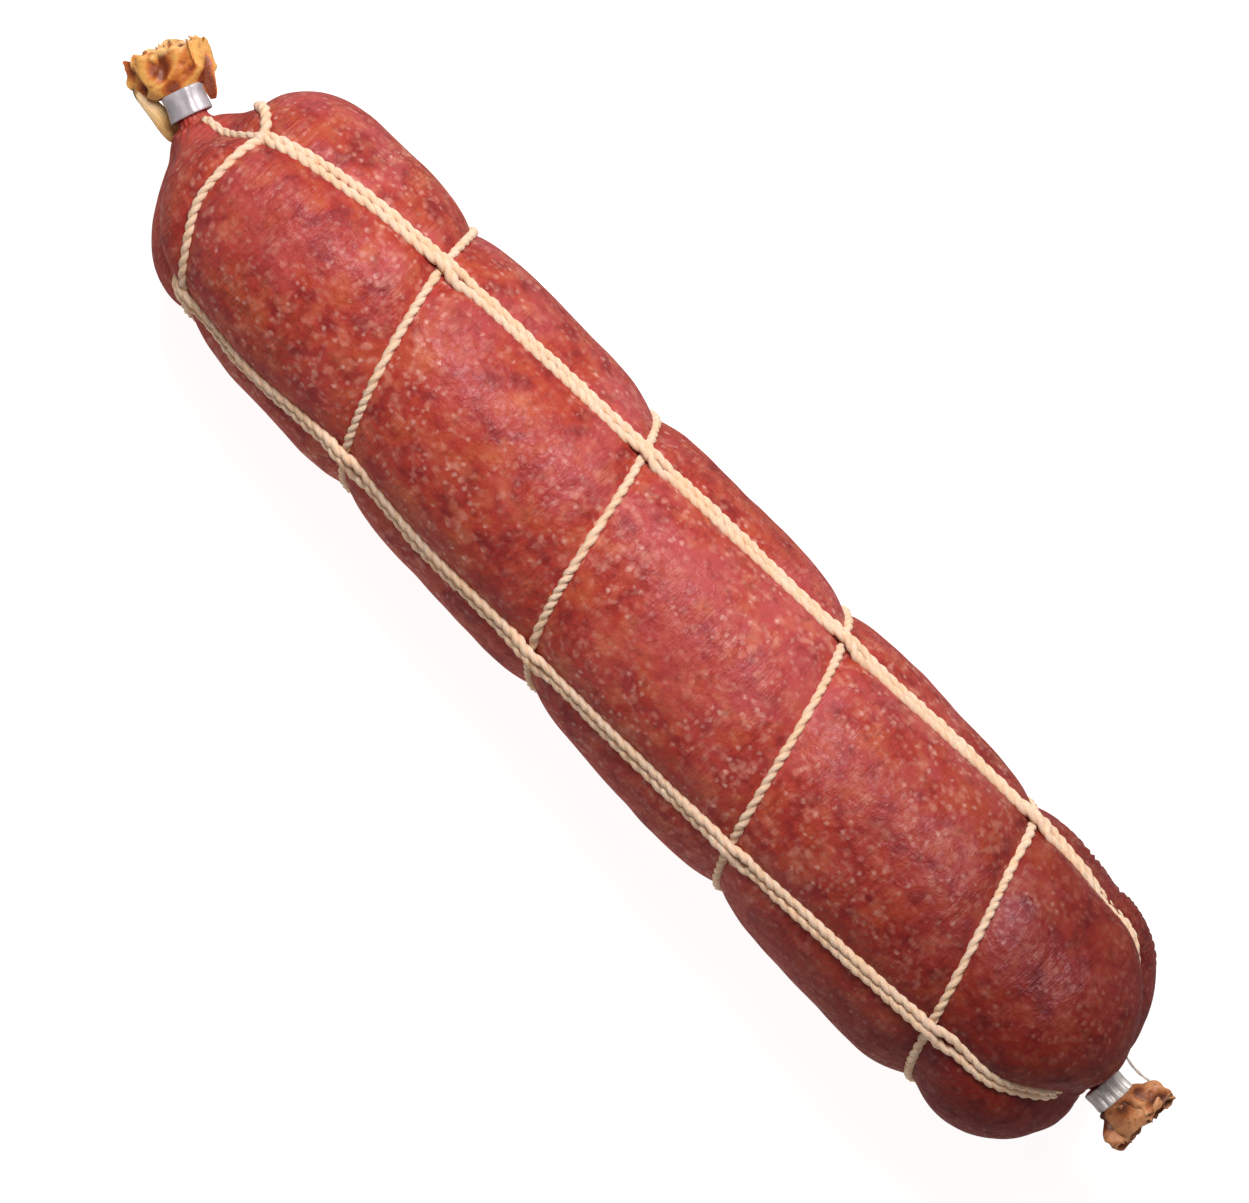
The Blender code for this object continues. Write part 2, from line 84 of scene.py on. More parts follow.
# Net of twine. The course of every strand is as in the CAD part, pressed closer into the casing.
STRAND = 1.9 * MM
SUNK_RADIUS = 0.95
LINE_END_RADIUS = 6.5 * MM
RIGHT_LINE = [
    (-131, 22), (-120, 28), (-110, 31.5), (-98, 36), (-79, 39.5), (-55, 44.2), (-36, 47.2), (-12, 50.3),
    (15, 53.8), (40, 57.3), (62, 62.2), (82, 64), (96, 66), (105, 69.5), (115, 71.5), (131, 75),
]
LEFT_LINE = [
    (-131, -76), (-110, -70), (-88, -66), (-66, -57.5), (-42, -60), (-12, -55.6), (15, -52), (44, -46.9),
    (70, -42), (98, -37), (115, -36.5), (131, -30),
]
UNDER_SPACING = 87.0
WINDING = [
    (-100, -131.2), (-60, -131), (0, -130.8), (35, -129.2), (61, -124.2), (90, -123.2), (114, -121.8),
    (138, -116.2), (158, -111.8), (180, -107.6), (360, -80.4), (410, -78.4), (505, -65.6), (540, -60.6),
    (720, -28.6), (764, -24), (865, -11.8), (900, -6), (1080, 26), (1113, 29.8), (1217, 43.3),
    (1260, 48.4), (1440, 79.4), (1471, 82.4), (1495, 84.6), (1520, 88.6), (1560, 95.6), (1609, 101.6),
    (1735, 114.5),
]
# Lobes that stand out further: (place in mm, angle, reach in mm, reach in degrees, height in mm)
FULLER_LOBES = [(-107, 90, 14, 35, 1.2), (-104, -90, 12, 30, 0.8), (112, 90, 15, 35, 2.0)]
LINE_GROOVE = 2.2 * MM
LINE_GROOVE_SPREAD = 5.5 * MM
LINE_GROOVE_FLAT = 1.5 * MM
HOOP_GROOVE = 3.3 * MM
HOOP_GROOVE_SPREAD = 5.5 * MM
HOOP_GROOVE_FLAT = 0.3 * MM
DOME_GROOVE = 0.4
CUSP = 0.35 * MM  # how rounded the grooves' edges are
# Past these places, in mm along the body, the lobes close over a line: 0 right, 1 and 2 under, 3 left
SHOWN = {0: (-140, 121), 1: (-120, 120), 2: (-120, 120), 3: (-112, 126)}
CLOSING = 8.0 * MM
CLOSED_FLAT = 0.1 * MM
CLOSED_DEPTH = 2.8 * MM
CLOSED_THIN = 0.45
CLOSED_NARROW = 0.5
CLOSED_END = 6.0 * MM  # a strand stops this far past the place where its cover starts
FOOT_LIFT = 0.9 * MM  # the right line rides higher in the crease at its foot end
FOOT_LIFT_START = 104 * MM
FOOT_LIFT_LENGTH = 18 * MM
THIN_FROM = -122.6 * MM
THIN_EASE = 3.0 * MM
THIN_GROOVE = 0.6

CLIPS = {
    "head": {"middle": 3.7 * MM, "length": 5.6 * MM, "width": 9.2 * MM, "wall": 0.8 * MM},
    "foot": {"middle": 2.6 * MM, "length": 4.6 * MM, "width": 9.0 * MM, "wall": 0.7 * MM},
}

# Fine mesh of the casing
DOME_RINGS = 70
BARREL_RINGS = 290
SECTOR_COLUMNS = 55  # from a line of twine to the next
COLUMN_CROWDING = 0.6  # more columns near the lines
MERGE_POWER = 3  # how softly neighbouring grooves merge
LIE_EASE = 0.2 * MM

# Plied strands
PLIES = 2
PLY_SIDES = 13
PLY_RADIUS = 0.74 * MM
PLY_OFFSET = 0.27 * MM
LAY = 5.4 * MM  # length of one full twist
STRAND_SAMPLE = 0.4 * MM
PAIR_STEP = 2.0 * MM  # between the two strands of a line
CROSSING_STEP = 1.55 * MM
PAIR_SIZE = 1.08  # the lines' strands against the winding's
CROSSING_RISE = 0.55 * MM  # how much a line climbs over the winding strand
CROSSING_REACH = 3.2 * MM
SLIT_START = 0.4 * MM
SLIT_LENGTH = 7.4 * MM
SLIT_LOOSE = 0.95 * MM  # how far the looping strand swings out past a crossing
SLIT_FIRM = 0.3 * MM


# Shape of the body, as in the CAD part


def smooth_through(knots, x):
    """A smooth curve through (place, value) knots, level past both ends."""
    places, values = (np.array(column, float) for column in zip(*knots))
    slopes = np.gradient(values, places)
    i = np.clip(np.searchsorted(places, x) - 1, 0, len(places) - 2)
    step = places[i + 1] - places[i]
    t = np.clip((x - places[i]) / step, 0, 1)
    return (
        values[i] * (1 + 2 * t) * (1 - t) ** 2
        + values[i + 1] * t**2 * (3 - 2 * t)
        + step * (slopes[i] * t * (1 - t) ** 2 + slopes[i + 1] * t**2 * (t - 1))
    )


def smooth_step(x):
    """0 below 0, 1 above 1, eased between."""
    t = np.clip(x, 0, 1)
    return t * t * (3 - 2 * t)


def wrapped(angle, period=TURN):
    """The same angle between minus and plus half a period."""
    return (np.asarray(angle) + period / 2) % period - period / 2


def crest_radius(u):
    """Radius of the lobes at u, before the domes round it off."""
    past_head = np.maximum(u + HALF - DOME_LENGTH, 0)
    past_foot = np.maximum(HALF - DOME_LENGTH - u, 0)
    return (
        MIDDLE_RADIUS
        + RADIUS_GROWTH * u
        - HEAD_SHOULDER * np.exp(-((past_head / SHOULDER_SPREAD) ** 2))
        - FOOT_SHOULDER * np.exp(-((past_foot / SHOULDER_SPREAD) ** 2))
    )


def dome_profile(end):
    """(u, radius) from the gather over the dome to the start of the barrel."""
    sign = -1 if end == "head" else 1
    neck, fillet = NECK_RADIUS[end], GATHER_FILLET[end]
    angle = np.linspace(0, math.pi / 2, PROFILE_SAMPLES)
    power = 2 / DOME_POWER[end]
    u = sign * (HALF - DOME_LENGTH * (1 - np.cos(angle) ** power))
    radius = crest_radius(u) * np.sin(angle) ** power
    u = u - sign * GATHER_DEPTH[end] * np.exp(-((radius / GATHER_SPREAD[end]) ** 2))
    dome = radius > neck + fillet
    bend = np.linspace(0, math.pi / 2, GATHER_STEPS)[::-1]
    start = u[dome][0]
    fillet_u = start + sign * fillet * (1 - np.cos(bend))
    fillet_radius = neck + fillet * (1 - np.sin(bend))
    return np.concatenate([fillet_u, u[dome]]), np.concatenate([fillet_radius, radius[dome]])


def body_profile():
    """Tables of u, radius and length along the profile, from the head's neck to the foot's."""
    head_u, head_radius = dome_profile("head")
    foot_u, foot_radius = dome_profile("foot")
    barrel = np.linspace(head_u[-1], foot_u[-1], 4 * PROFILE_SAMPLES)[1:-1]
    u = np.concatenate([head_u, barrel, foot_u[::-1]])
    radius = np.concatenate([head_radius, crest_radius(barrel), foot_radius[::-1]])
    along = np.concatenate([[0], np.cumsum(np.hypot(np.diff(u), np.diff(radius)))])
    middle = np.interp(0, u[PROFILE_SAMPLES:-PROFILE_SAMPLES], along[PROFILE_SAMPLES:-PROFILE_SAMPLES])
    return u, radius, along - middle


PROFILE_U, PROFILE_RADIUS, PROFILE_ALONG = body_profile()
GATHER_U = {"head": PROFILE_U[0], "foot": PROFILE_U[-1]}


def profile_at(along):
    """u and radius at a length along the profile."""
    return np.interp(along, PROFILE_ALONG, PROFILE_U), np.interp(along, PROFILE_ALONG, PROFILE_RADIUS)


def along_at(u):
    """Length along the profile at u, over the domes' outer faces."""
    outer = PROFILE_RADIUS > DOME_FACE
    return np.interp(u, PROFILE_U[outer], PROFILE_ALONG[outer])


def line_angle(line, u):
    """The angle of a line of twine: 0 right, 1 under right, 2 under left, 3 left."""
    knots = RIGHT_LINE if line in (0, 1) else LEFT_LINE
    offset = {0: 0, 1: UNDER_SPACING, 2: TURN - UNDER_SPACING, 3: TURN}[line]
    return smooth_through(knots, u / MM) + offset


def winding_u(wound):
    return smooth_through(WINDING, wound) * MM


def winding_distances(along, theta):
    """Distances along the body from the turns of the winding strand, one array for each turn."""
    first, last = WINDING[0][0], WINDING[-1][0]
    for turn in range(math.floor(first / TURN), math.ceil(last / TURN) + 1):
        wound = QUARTER - wrapped(theta) + TURN * turn
        inside = (wound >= first) & (wound <= last)
        yield np.where(inside, np.abs(along - along_at(winding_u(wound))), 1.0)


def groove(distance, flat, spread):
    """1 on the groove's floor, falling off to its sides."""
    past = distance - flat
    return np.exp(-(past + np.hypot(past, CUSP)) / 2 / spread)


def merged(parts):
    """One smooth height for several overlapping ones."""
    return sum(part**MERGE_POWER for part in parts) ** (1 / MERGE_POWER)


def closed(line, u):
    """1 where the lobes close over a line of twine, 0 where it shows."""
    low, high = SHOWN[line]
    return smooth_step((low * MM - u) / CLOSING) + smooth_step((u - high * MM) / CLOSING)


def thinned(line, u):
    """1 where the right line runs on to the head's clip as one thin strand."""
    return (line == 0) * smooth_step((THIN_FROM - u) / THIN_EASE)


def past_neck(radius):
    """0 at the necks, 1 on the domes and beyond."""
    return smooth_step((radius - DENT_START) / DENT_EASE)


def line_dent(u, radius, theta):
    """How deep the lines of twine press the casing in."""
    end = HALF - np.abs(u)
    crease = np.where(u < 0, CREASE_DEPTH["head"], CREASE_DEPTH["foot"])
    depth = LINE_GROOVE + crease * np.exp(-((end / CREASE_SPREAD) ** 2))
    spread = np.minimum(LINE_GROOVE_SPREAD, CREASE_WIDTH * radius)
    parts = []
    for line in range(4):
        distance = np.radians(np.abs(wrapped(theta - line_angle(line, u)))) * radius
        narrow = closed(line, u) + THIN_GROOVE * thinned(line, u)
        flat = LINE_GROOVE_FLAT + (CLOSED_FLAT - LINE_GROOVE_FLAT) * narrow
        parts.append(depth * groove(distance, flat, spread))
    return merged(parts)


def hoop_dent(u, along, theta):
    """How deep the winding strand presses the casing in."""
    end = HALF - np.abs(u)
    depth = HOOP_GROOVE * (DOME_GROOVE + (1 - DOME_GROOVE) * smooth_step(end / DOME_LENGTH))
    turns = winding_distances(along, theta)
    return depth * merged([groove(d, HOOP_GROOVE_FLAT, HOOP_GROOVE_SPREAD) for d in turns])


def limited(depth, radius):
    """The depth of a dent, held below a share of the local radius and faded out at the necks."""
    limit = CREASE_LIMIT * radius
    return limit * np.tanh(depth * past_neck(radius) / limit)


def fuller(u, theta):
    """How much further the fullest lobes stand out."""
    return sum(
        height * MM * np.exp(-(((u / MM - place) / reach) ** 2) - (wrapped(theta - angle) / spread) ** 2)
        for place, angle, reach, spread, height in FULLER_LOBES
    )


def dent(u, radius, along, theta):
    """How deep the twine presses the casing in."""
    pressed_in = limited(merged([line_dent(u, radius, theta), hoop_dent(u, along, theta)]), radius)
    return pressed_in - fuller(u, theta) * past_neck(radius)


def axis_height(u):
    """The body's underside is level, so its axis climbs as it thickens."""
    return MIDDLE_RADIUS + RADIUS_GROWTH * u - FLATTENED


def nose(u, radius):
    """1 at the head's neck, fading out over the head's dome."""
    return (u < 0) * np.exp(-((radius / NOSE_SPREAD) ** 2))


def sideways(u, radius):
    """How far the body's ends are moved towards +Y."""
    foot = np.exp(-(((HALF - u) / FOOT_SPREAD) ** 2)) * past_neck(radius)
    return NOSE_SHIFT * nose(u, radius) + FOOT_SHIFT * foot


def on_body(along, theta, sunk):
    """Points sunk below the body's undented surface, and their outward directions."""
    along, theta = np.broadcast_arrays(along, theta)
    u, radius = profile_at(along)
    before, after = profile_at(along - SLOPE_REACH), profile_at(along + SLOPE_REACH)
    slope_u, slope_r = after[0] - before[0], after[1] - before[1]
    length = np.hypot(slope_u, slope_r)
    out_u, out_r = -slope_r / length, slope_u / length
    across = radius - sunk * out_r
    sine, cosine = np.sin(np.radians(theta)), np.cos(np.radians(theta))
    turned = math.tan(math.radians(HEAD_BEND)) * nose(u, radius) * across * sine
    x = u - sunk * out_u + turned + BODY_MID_X
    y = across * sine + sideways(u, radius)
    place = np.stack([x, y, axis_height(u) + across * cosine], -1)
    return place, np.stack([out_u, out_r * sine, out_r * cosine], -1)


def neck_frame(end):
    """Where the neck leaves the gather, its direction, and the level direction across it."""
    u = GATHER_U[end]
    bend = math.radians(HEAD_BEND) if end == "head" else 0
    sign = -1 if end == "head" else 1
    start = np.array([u + BODY_MID_X, sideways(u, NECK_RADIUS[end]), axis_height(u)])
    direction = np.array([sign * math.cos(bend), math.sin(bend), 0])
    across = np.array([math.sin(bend), math.cos(bend), 0])
    return start, direction, across


# Meshes


def waves(points, size, seed, count=40):
    """A smooth random field over points, with bumps of about the given size and values near -1 to 1."""
    draw = np.random.default_rng(seed)
    directions = draw.normal(size=(count, 3))
    directions /= np.linalg.norm(directions, axis=1)[:, None]
    pace = math.tau / size * draw.uniform(0.35, 1.0, count)
    phase = draw.uniform(0, math.tau, count)
    field = np.zeros(points.shape[:-1])
    for direction, k, shift in zip(directions, pace, phase):
        field += np.cos(points @ direction * k + shift)
    return field / math.sqrt(count)


def wander(length, size, seed):
    """A smooth random value in about -1 to 1 at each place along a strand."""
    return waves(np.stack([length, length * 0, length * 0], -1), size, seed, 12)


def show(obj, nodes=()):
    """Puts a piece in the scene, on the object's one body."""
    bpy.context.scene.collection.objects.link(obj)
    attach(obj, "root")
    if nodes:
        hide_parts(*nodes)
    return obj


def signed_volume(corners, faces):
    """Six times the volume inside the faces, negative if they look inwards."""
    a, b, c = (corners[faces[:, i]] for i in range(3))
    volume = np.einsum("ij,ij->i", a, np.cross(b, c)).sum()
    if faces.shape[1] == 4:
        volume += signed_volume(corners, faces[:, [0, 2, 3]])
    return volume


def loft(name, rings, finish, capped=True, tips=None):
    """A smooth skin through rings of equally many points, shut at both ends if capped."""
    count, around = rings.shape[:2]
    index = np.arange(count * around).reshape(count, around)
    turned = np.roll(index, -1, axis=1)
    quads = np.stack([index[:-1], turned[:-1], turned[1:], index[1:]], -1).reshape(-1, 4)
    corners = rings.reshape(-1, 3)
    faces = quads.tolist()
    if capped:
        ends = tips if tips is not None else (rings[0].mean(0), rings[-1].mean(0))
        corners = np.concatenate([corners, ends])
        first, last = count * around, count * around + 1
        faces += [[first, b, a] for a, b in zip(index[0], turned[0])]
        faces += [[last, a, b] for a, b in zip(index[-1], turned[-1])]
    if signed_volume(corners - corners.mean(0), quads) < 0:
        faces = [face[::-1] for face in faces]
    mesh = bpy.data.meshes.new(name)
    mesh.from_pydata(corners.tolist(), [], faces)
    mesh.shade_smooth()
    mesh.materials.append(finish)
    return bpy.data.objects.new(name, mesh)


def attribute(obj, name, values):
    """A value at each point of the mesh, for its material. Cap points take 0."""
    full = np.zeros(len(obj.data.vertices))
    full[: values.size] = values.reshape(-1)
    obj.data.attributes.new(name, "FLOAT", "POINT").data.foreach_set("value", full)


# Materials


class Finish:
    """A material made of short chains of nodes."""

    def __init__(self, name, **sockets):
        self.material = bpy.data.materials.new(name)
        self.material.use_nodes = True
        self.tree = self.material.node_tree
        self.shader = self.tree.nodes["Principled BSDF"]
        for socket, value in sockets.items():
            self.shader.inputs[socket.replace("_", " ")].default_value = value

    def node(self, kind, *inputs, **settings):
        """A node whose first inputs are values or other nodes' outputs, in order."""
        made = self.tree.nodes.new("ShaderNode" + kind)
        for key, value in settings.items():
            setattr(made, key, value)
        for socket, value in zip(made.inputs, inputs):
            self.set(socket, value)
        return made

    def set(self, socket, value):
        if isinstance(value, bpy.types.NodeSocket):
            self.tree.links.new(value, socket)
        elif value is not None:
            socket.default_value = value

    def place(self, stretch=(1, 1, 1), shift=(0, 0, 0)):
        """Places in the object, stretched for a grain that runs one way."""
        coordinates = self.node("TexCoord").outputs["Object"]
        mapping = self.node("Mapping", coordinates, shift, None, stretch)
        return mapping.outputs[0]

    def attribute(self, name):
        return self.node("Attribute", attribute_name=name).outputs["Fac"]

    def joined(self, x, y=0.0, z=0.0):
        return self.node("CombineXYZ", x, y, z).outputs[0]

    def maths(self, operation, a, b=0.0, c=0.0):
        return self.node("Math", a, b, c, operation=operation).outputs[0]

    def times(self, a, b):
        return self.maths("MULTIPLY", a, b)

    def noise(self, place, scale, detail=2.0, roughness=0.5, distortion=0.0):
        made = self.node("TexNoise", place)
        for socket, value in (
            ("Scale", scale), ("Detail", detail), ("Roughness", roughness), ("Distortion", distortion)
        ):
            made.inputs[socket].default_value = value
        return made.outputs["Fac"]

    def specks(self, place, scale, share, reach):
        """Soft uneven specks of uneven strength, in a share of the cells of a random pattern."""
        cells = self.node("TexVoronoi", place)
        cells.inputs["Scale"].default_value = scale
        chance = self.node("SeparateColor", cells.outputs["Color"]).outputs[0]
        ragged = self.times(self.maths("SUBTRACT", self.noise(place, scale * 2.2, 2), 0.5), 0.7)
        distance = self.maths("ADD", cells.outputs["Distance"], ragged)
        return self.times(self.band(distance, reach, 0.04), self.band(chance, 1 - share, 1.0))

    def band(self, value, low, high, bottom=0.0, top=1.0):
        """Eased from bottom to top as value goes from low to high."""
        made = self.node("MapRange", value, low, high, bottom, top, interpolation_type="SMOOTHSTEP")
        return made.outputs[0]

    def ramp(self, value, *stops):
        """A colour for each value, through (value, colour) stops."""
        made = self.node("ValToRGB", value)
        elements = made.color_ramp.elements
        while len(elements) < len(stops):
            elements.new(1.0)
        for element, (place, colour) in zip(elements, stops):
            element.position = place
            element.color = (*colour, 1)
        return made.outputs["Color"]

    def mix(self, factor, under, over, blend="MIX"):
        """Colour under with colour over laid on it."""
        made = self.node("Mix", data_type="RGBA", blend_type=blend)
        colours = [s for s in made.inputs if s.type == "RGBA"]
        self.set(made.inputs[0], factor)
        for socket, colour in zip(colours, (under, over)):
            self.set(socket, (*colour, 1) if isinstance(colour, tuple) else colour)
        return next(s for s in made.outputs if s.type == "RGBA")

    def bump(self, height, distance, under=None):
        made = self.node("Bump")
        made.inputs["Distance"].default_value = distance
        self.set(made.inputs["Height"], height)
        self.set(made.inputs["Normal"], under)
        return made.outputs[0]

    def finished(self, colour, roughness=None, normal=None):
        self.set(self.shader.inputs["Base Color"], colour)
        self.set(self.shader.inputs["Roughness"], roughness)
        self.set(self.shader.inputs["Normal"], normal)
        return self.material


DARK_MEAT = (0.135, 0.009, 0.008)
MAROON = (0.24, 0.019, 0.016)
BRICK = (0.38, 0.037, 0.022)
RUST = (0.43, 0.065, 0.027)
AMBER = (0.50, 0.118, 0.048)
# ROSE is the meat's rosy tone, laid on more thickly on the lit right side as a painted highlight
ROSE = (0.45, 0.070, 0.070)
FAT = (0.62, 0.24, 0.17)
FAT_ORANGE = (0.56, 0.15, 0.075)
PALE_FAT = (0.76, 0.43, 0.35)
FOOT_SHADE_DARK = (0.42, 0.28, 0.24)  # painted shade: how much of each colour is left at the foot
ROSE_LIT_SIDES = (-0.022, 0.018)  # painted highlight: the rose grows from the left side to the lit right side
ROSE_LIT_SHARES = (0.25, 0.75)
WRINKLES_FROM = -0.110  # fine creases round the head, fading out towards the foot
WRINKLES_TO = -0.072
FOOT_SHADE_FROM = 0.030
FOOT_SHADE_TO = 0.128



def casing_finish():
    """Cured meat seen through a cross-grained fibrous casing with a satin sheen."""
    f = Finish(
        "cured_casing_look",
        Subsurface_Weight=0.04,
        Subsurface_Radius=(1.0, 0.3, 0.2),
        Subsurface_Scale=1.2 * MM,
        Specular_IOR_Level=0.34,
        Specular_Tint=(1.0, 0.74, 0.86, 1),
    )
    clouds = f.noise(f.place(), 170, 5, 0.58, 0.2)
    colour = f.ramp(clouds, (0.34, MAROON), (0.48, BRICK), (0.62, RUST), (0.76, AMBER))
    rosy = f.noise(f.place(shift=(3, 1, 2)), 60, 4, 0.6)
    spot = f.node("SeparateXYZ", f.place())
    # Painted highlight: the rose patches are laid on more thickly on the right side, which faces the key light
    lit_side_rose = f.band(spot.outputs[1], *ROSE_LIT_SIDES, *ROSE_LIT_SHARES)
    colour = f.mix(f.times(f.band(rosy, 0.45, 0.62), lit_side_rose), colour, ROSE)
    # Fat under the casing: soft pale patches and rounder specks, thicker in some places
    thick = f.band(f.noise(f.place(shift=(6, 2, 7)), 48, 3, 0.6), 0.36, 0.60, 0.35, 1.0)
    for scale, low, high, strength, tone, shift in (
        (230, 0.52, 0.74, 0.50, FAT_ORANGE, (7, 5, 1)),
        (420, 0.54, 0.76, 0.55, FAT, (2, 8, 3)),
    ):
        patch = f.band(f.noise(f.place(shift=shift), scale, 1, 0.5), low, high)
        colour = f.mix(f.times(f.times(patch, thick), strength), colour, tone)
    for scale, share, reach, strength, tone, shift in (
        (400, 0.75, 0.52, 0.62, FAT, (9, 4, 6)),
        (620, 0.70, 0.48, 0.60, PALE_FAT, (4, 9, 2)),
    ):
        speck = f.times(f.specks(f.place(shift=shift), scale, share, reach), thick)
        colour = f.mix(f.times(speck, strength), colour, tone)
    lean = f.noise(f.place(shift=(1, 6, 8)), 330, 3, 0.6)
    colour = f.mix(f.times(f.band(lean, 0.46, 0.28), 0.38), colour, DARK_MEAT)
    # Fine grain running round the sausage
    grain = f.noise(f.place((6.5, 1, 1)), 300, 3, 0.6, 0.15)
    fibres = f.noise(f.place((5.0, 1, 1), (4, 4, 4)), 800, 2, 0.6)
    patchy = f.band(f.noise(f.place(shift=(5, 5, 9)), 85, 2), 0.40, 0.62)
    colour = f.mix(f.times(f.times(f.band(grain, 0.52, 0.36), patchy), 0.42), colour, MAROON)
    # Painted shade: darker towards the foot, where the light falls off
    cured = f.band(spot.outputs[0], FOOT_SHADE_FROM, FOOT_SHADE_TO)
    colour = f.mix(cured, colour, f.mix(1.0, colour, FOOT_SHADE_DARK, "MULTIPLY"))
    roughness = f.band(f.noise(f.place(), 800, 3, 0.6), 0.38, 0.62, 0.33, 0.58)
    relief = f.bump(f.noise(f.place(), 420, 3, 0.55), 0.45 * MM)
    wrinkled = f.band(spot.outputs[0], WRINKLES_TO, WRINKLES_FROM)
    wrinkles = f.noise(f.place((9, 1, 1)), 120, 1, 0.5)
    relief = f.bump(f.times(wrinkles, wrinkled), 0.55 * MM, relief)
    relief = f.bump(f.times(grain, patchy), 0.24 * MM, relief)
    relief = f.bump(fibres, 0.09 * MM, relief)
    return f.finished(colour, roughness, relief)


def twine_finish(name, light, dark):
    """Plied twine: fibres along the plies, with painted shade where they meet."""
    f = Finish(
        name,
        Sheen_Weight=0.05,
        Specular_IOR_Level=0.3,
        Subsurface_Weight=0.25,
        Subsurface_Radius=(1.0, 0.5, 0.25),
        Subsurface_Scale=1.0 * MM,
    )
    along, around, depth = f.attribute("along"), f.attribute("around"), f.attribute("depth")
    fibre_place = f.joined(f.times(along, 300), f.times(around, 22))
    fibres = f.noise(fibre_place, 1.0, 3, 0.65)
    tone = f.noise(f.place(), 210, 3, 0.6)
    colour = f.mix(f.band(tone, 0.40, 0.66), light, tuple(c * k for c, k in zip(light, (0.97, 0.90, 0.80))))
    colour = f.mix(f.times(f.band(fibres, 0.52, 0.34), 0.24), colour, dark)
    # Painted shade in the valleys where the plies meet
    colour = f.mix(f.times(f.band(depth, 0.55, 1.0), 0.30), colour, dark)
    relief = f.bump(fibres, 0.14 * MM)
    return f.finished(colour, f.band(fibres, 0.3, 0.7, 0.75, 0.92), relief)


# Casing


def column_angles(u):
    """The angles of the mesh's columns at u, which follow the four lines."""
    lines = [line_angle(line, u) for line in range(4)]
    lines.append(lines[0] + TURN)
    t = np.arange(SECTOR_COLUMNS) / SECTOR_COLUMNS
    t = t - COLUMN_CROWDING * np.sin(math.tau * t) / math.tau
    return np.concatenate([a + t * (b - a) for a, b in zip(lines, lines[1:])])


PUCKER_FOLDS = ((17, 0.4, 0.5), (23, 1.9, 0.35), (31, 4.0, 0.25))  # count, phase, share
PUCKER_DEPTH = 0.55 * MM
PUCKER_RADIUS = 5.5 * MM
PUCKER_SPREAD = 3.5 * MM


def puckers(radius, theta):
    """Depth of the pleats that run into the necks."""
    wave = sum(
        share * np.abs(np.sin(np.radians(theta) * count / 2 + phase)) for count, phase, share in PUCKER_FOLDS
    )
    reach = np.exp(-((np.maximum(radius - PUCKER_RADIUS, 0) / PUCKER_SPREAD) ** 2))
    return PUCKER_DEPTH * reach * (1 - wave) * np.minimum(radius / PUCKER_RADIUS, 1)


RIB_STEP = 1.4 * MM
RIB_DEPTH = 0.55 * MM
RIB_PLACE = (0.084, 0.122)  # along the body
RIB_ANGLES = (68.0, 140.0)
RIB_EASE = (5.0 * MM, 10.0)


def ribs(u, along, theta, points):
    """Depth of the small creases across the lobe by the right line's foot end."""
    low, high = RIB_PLACE
    where = smooth_step((u - low) / RIB_EASE[0]) * smooth_step((high - u) / RIB_EASE[0])
    turn = np.mod(theta, TURN)
    low, high = RIB_ANGLES
    where = where * smooth_step((turn - low) / RIB_EASE[1]) * smooth_step((high - turn) / RIB_EASE[1])
    phase = along / RIB_STEP + 0.5 * waves(points, 7 * MM, 21)
    return RIB_DEPTH * where * (0.5 + 0.5 * np.cos(math.tau * phase)) ** 2


def uneven_filling(points):
    """How far the surface stays behind its smooth shape, over lumps of several sizes."""
    depth = 0
    for size, height, seed in ((34 * MM, 0.22 * MM, 1), (13 * MM, 0.15 * MM, 2), (5 * MM, 0.07 * MM, 3)):
        depth = depth + height * (1 + np.clip(waves(points, size, seed), -1, 1))
    return depth


def body_rings():
    """Fine rings of the casing from the head's gather to the foot's."""
    first, last = PROFILE_ALONG[0], PROFILE_ALONG[-1]
    barrel_start = along_at(-HALF + DOME_LENGTH)
    barrel_end = along_at(HALF - DOME_LENGTH)
    places = np.concatenate(
        [
            np.linspace(first, barrel_start, DOME_RINGS + 1)[:-1],
            np.linspace(barrel_start, barrel_end, BARREL_RINGS),
            np.linspace(barrel_end, last, DOME_RINGS + 1)[1:],
        ]
    )
    u, radius = profile_at(places)
    theta = np.array([column_angles(each) for each in u])
    u, radius, along = (np.repeat(values[:, None], theta.shape[1], 1) for values in (u, radius, places))
    smooth, _ = on_body(along, theta, 0)
    pressed = dent(u, radius, along, theta)
    relaxed = past_neck(radius) * np.exp(-pressed / HOOP_GROOVE)
    sunk = pressed + uneven_filling(smooth) * relaxed + puckers(radius, theta) + ribs(u, along, theta, smooth)
    points, _ = on_body(along, theta, sunk)
    points[..., 2] = (points[..., 2] + np.hypot(points[..., 2], LIE_EASE)) / 2
    return points


NECK_RINGS = 8
NECK_FOLDS = 0.12


def neck_rings(end, reach_end):
    """Rings of the pleated neck from the gather to just inside the tail."""
    start, direction, across = neck_frame(end)
    theta = np.radians(column_angles(GATHER_U[end]))
    wave = 1 - NECK_FOLDS * (1 - np.abs(np.sin(theta * 9.5 + 0.4)))
    radius = NECK_RADIUS[end] * wave
    ring = np.outer(radius * np.sin(theta), across) + np.outer(radius * np.cos(theta), [0, 0, 1])
    return [start + direction * reach_end * t + ring for t in np.linspace(0, 1, NECK_RINGS + 1)[1:]]


TAIL_START = {"head": 6.3 * MM, "foot": 4.7 * MM}


def casing():
    head = neck_rings("head", TAIL_START["head"] + 0.8 * MM)[::-1]
    foot = neck_rings("foot", TAIL_START["foot"] + 0.8 * MM)
    rings = np.array(head + list(body_rings()) + foot)
    obj = loft("casing_body", rings, casing_finish())
    return show(obj, ["casing"])


# Tails

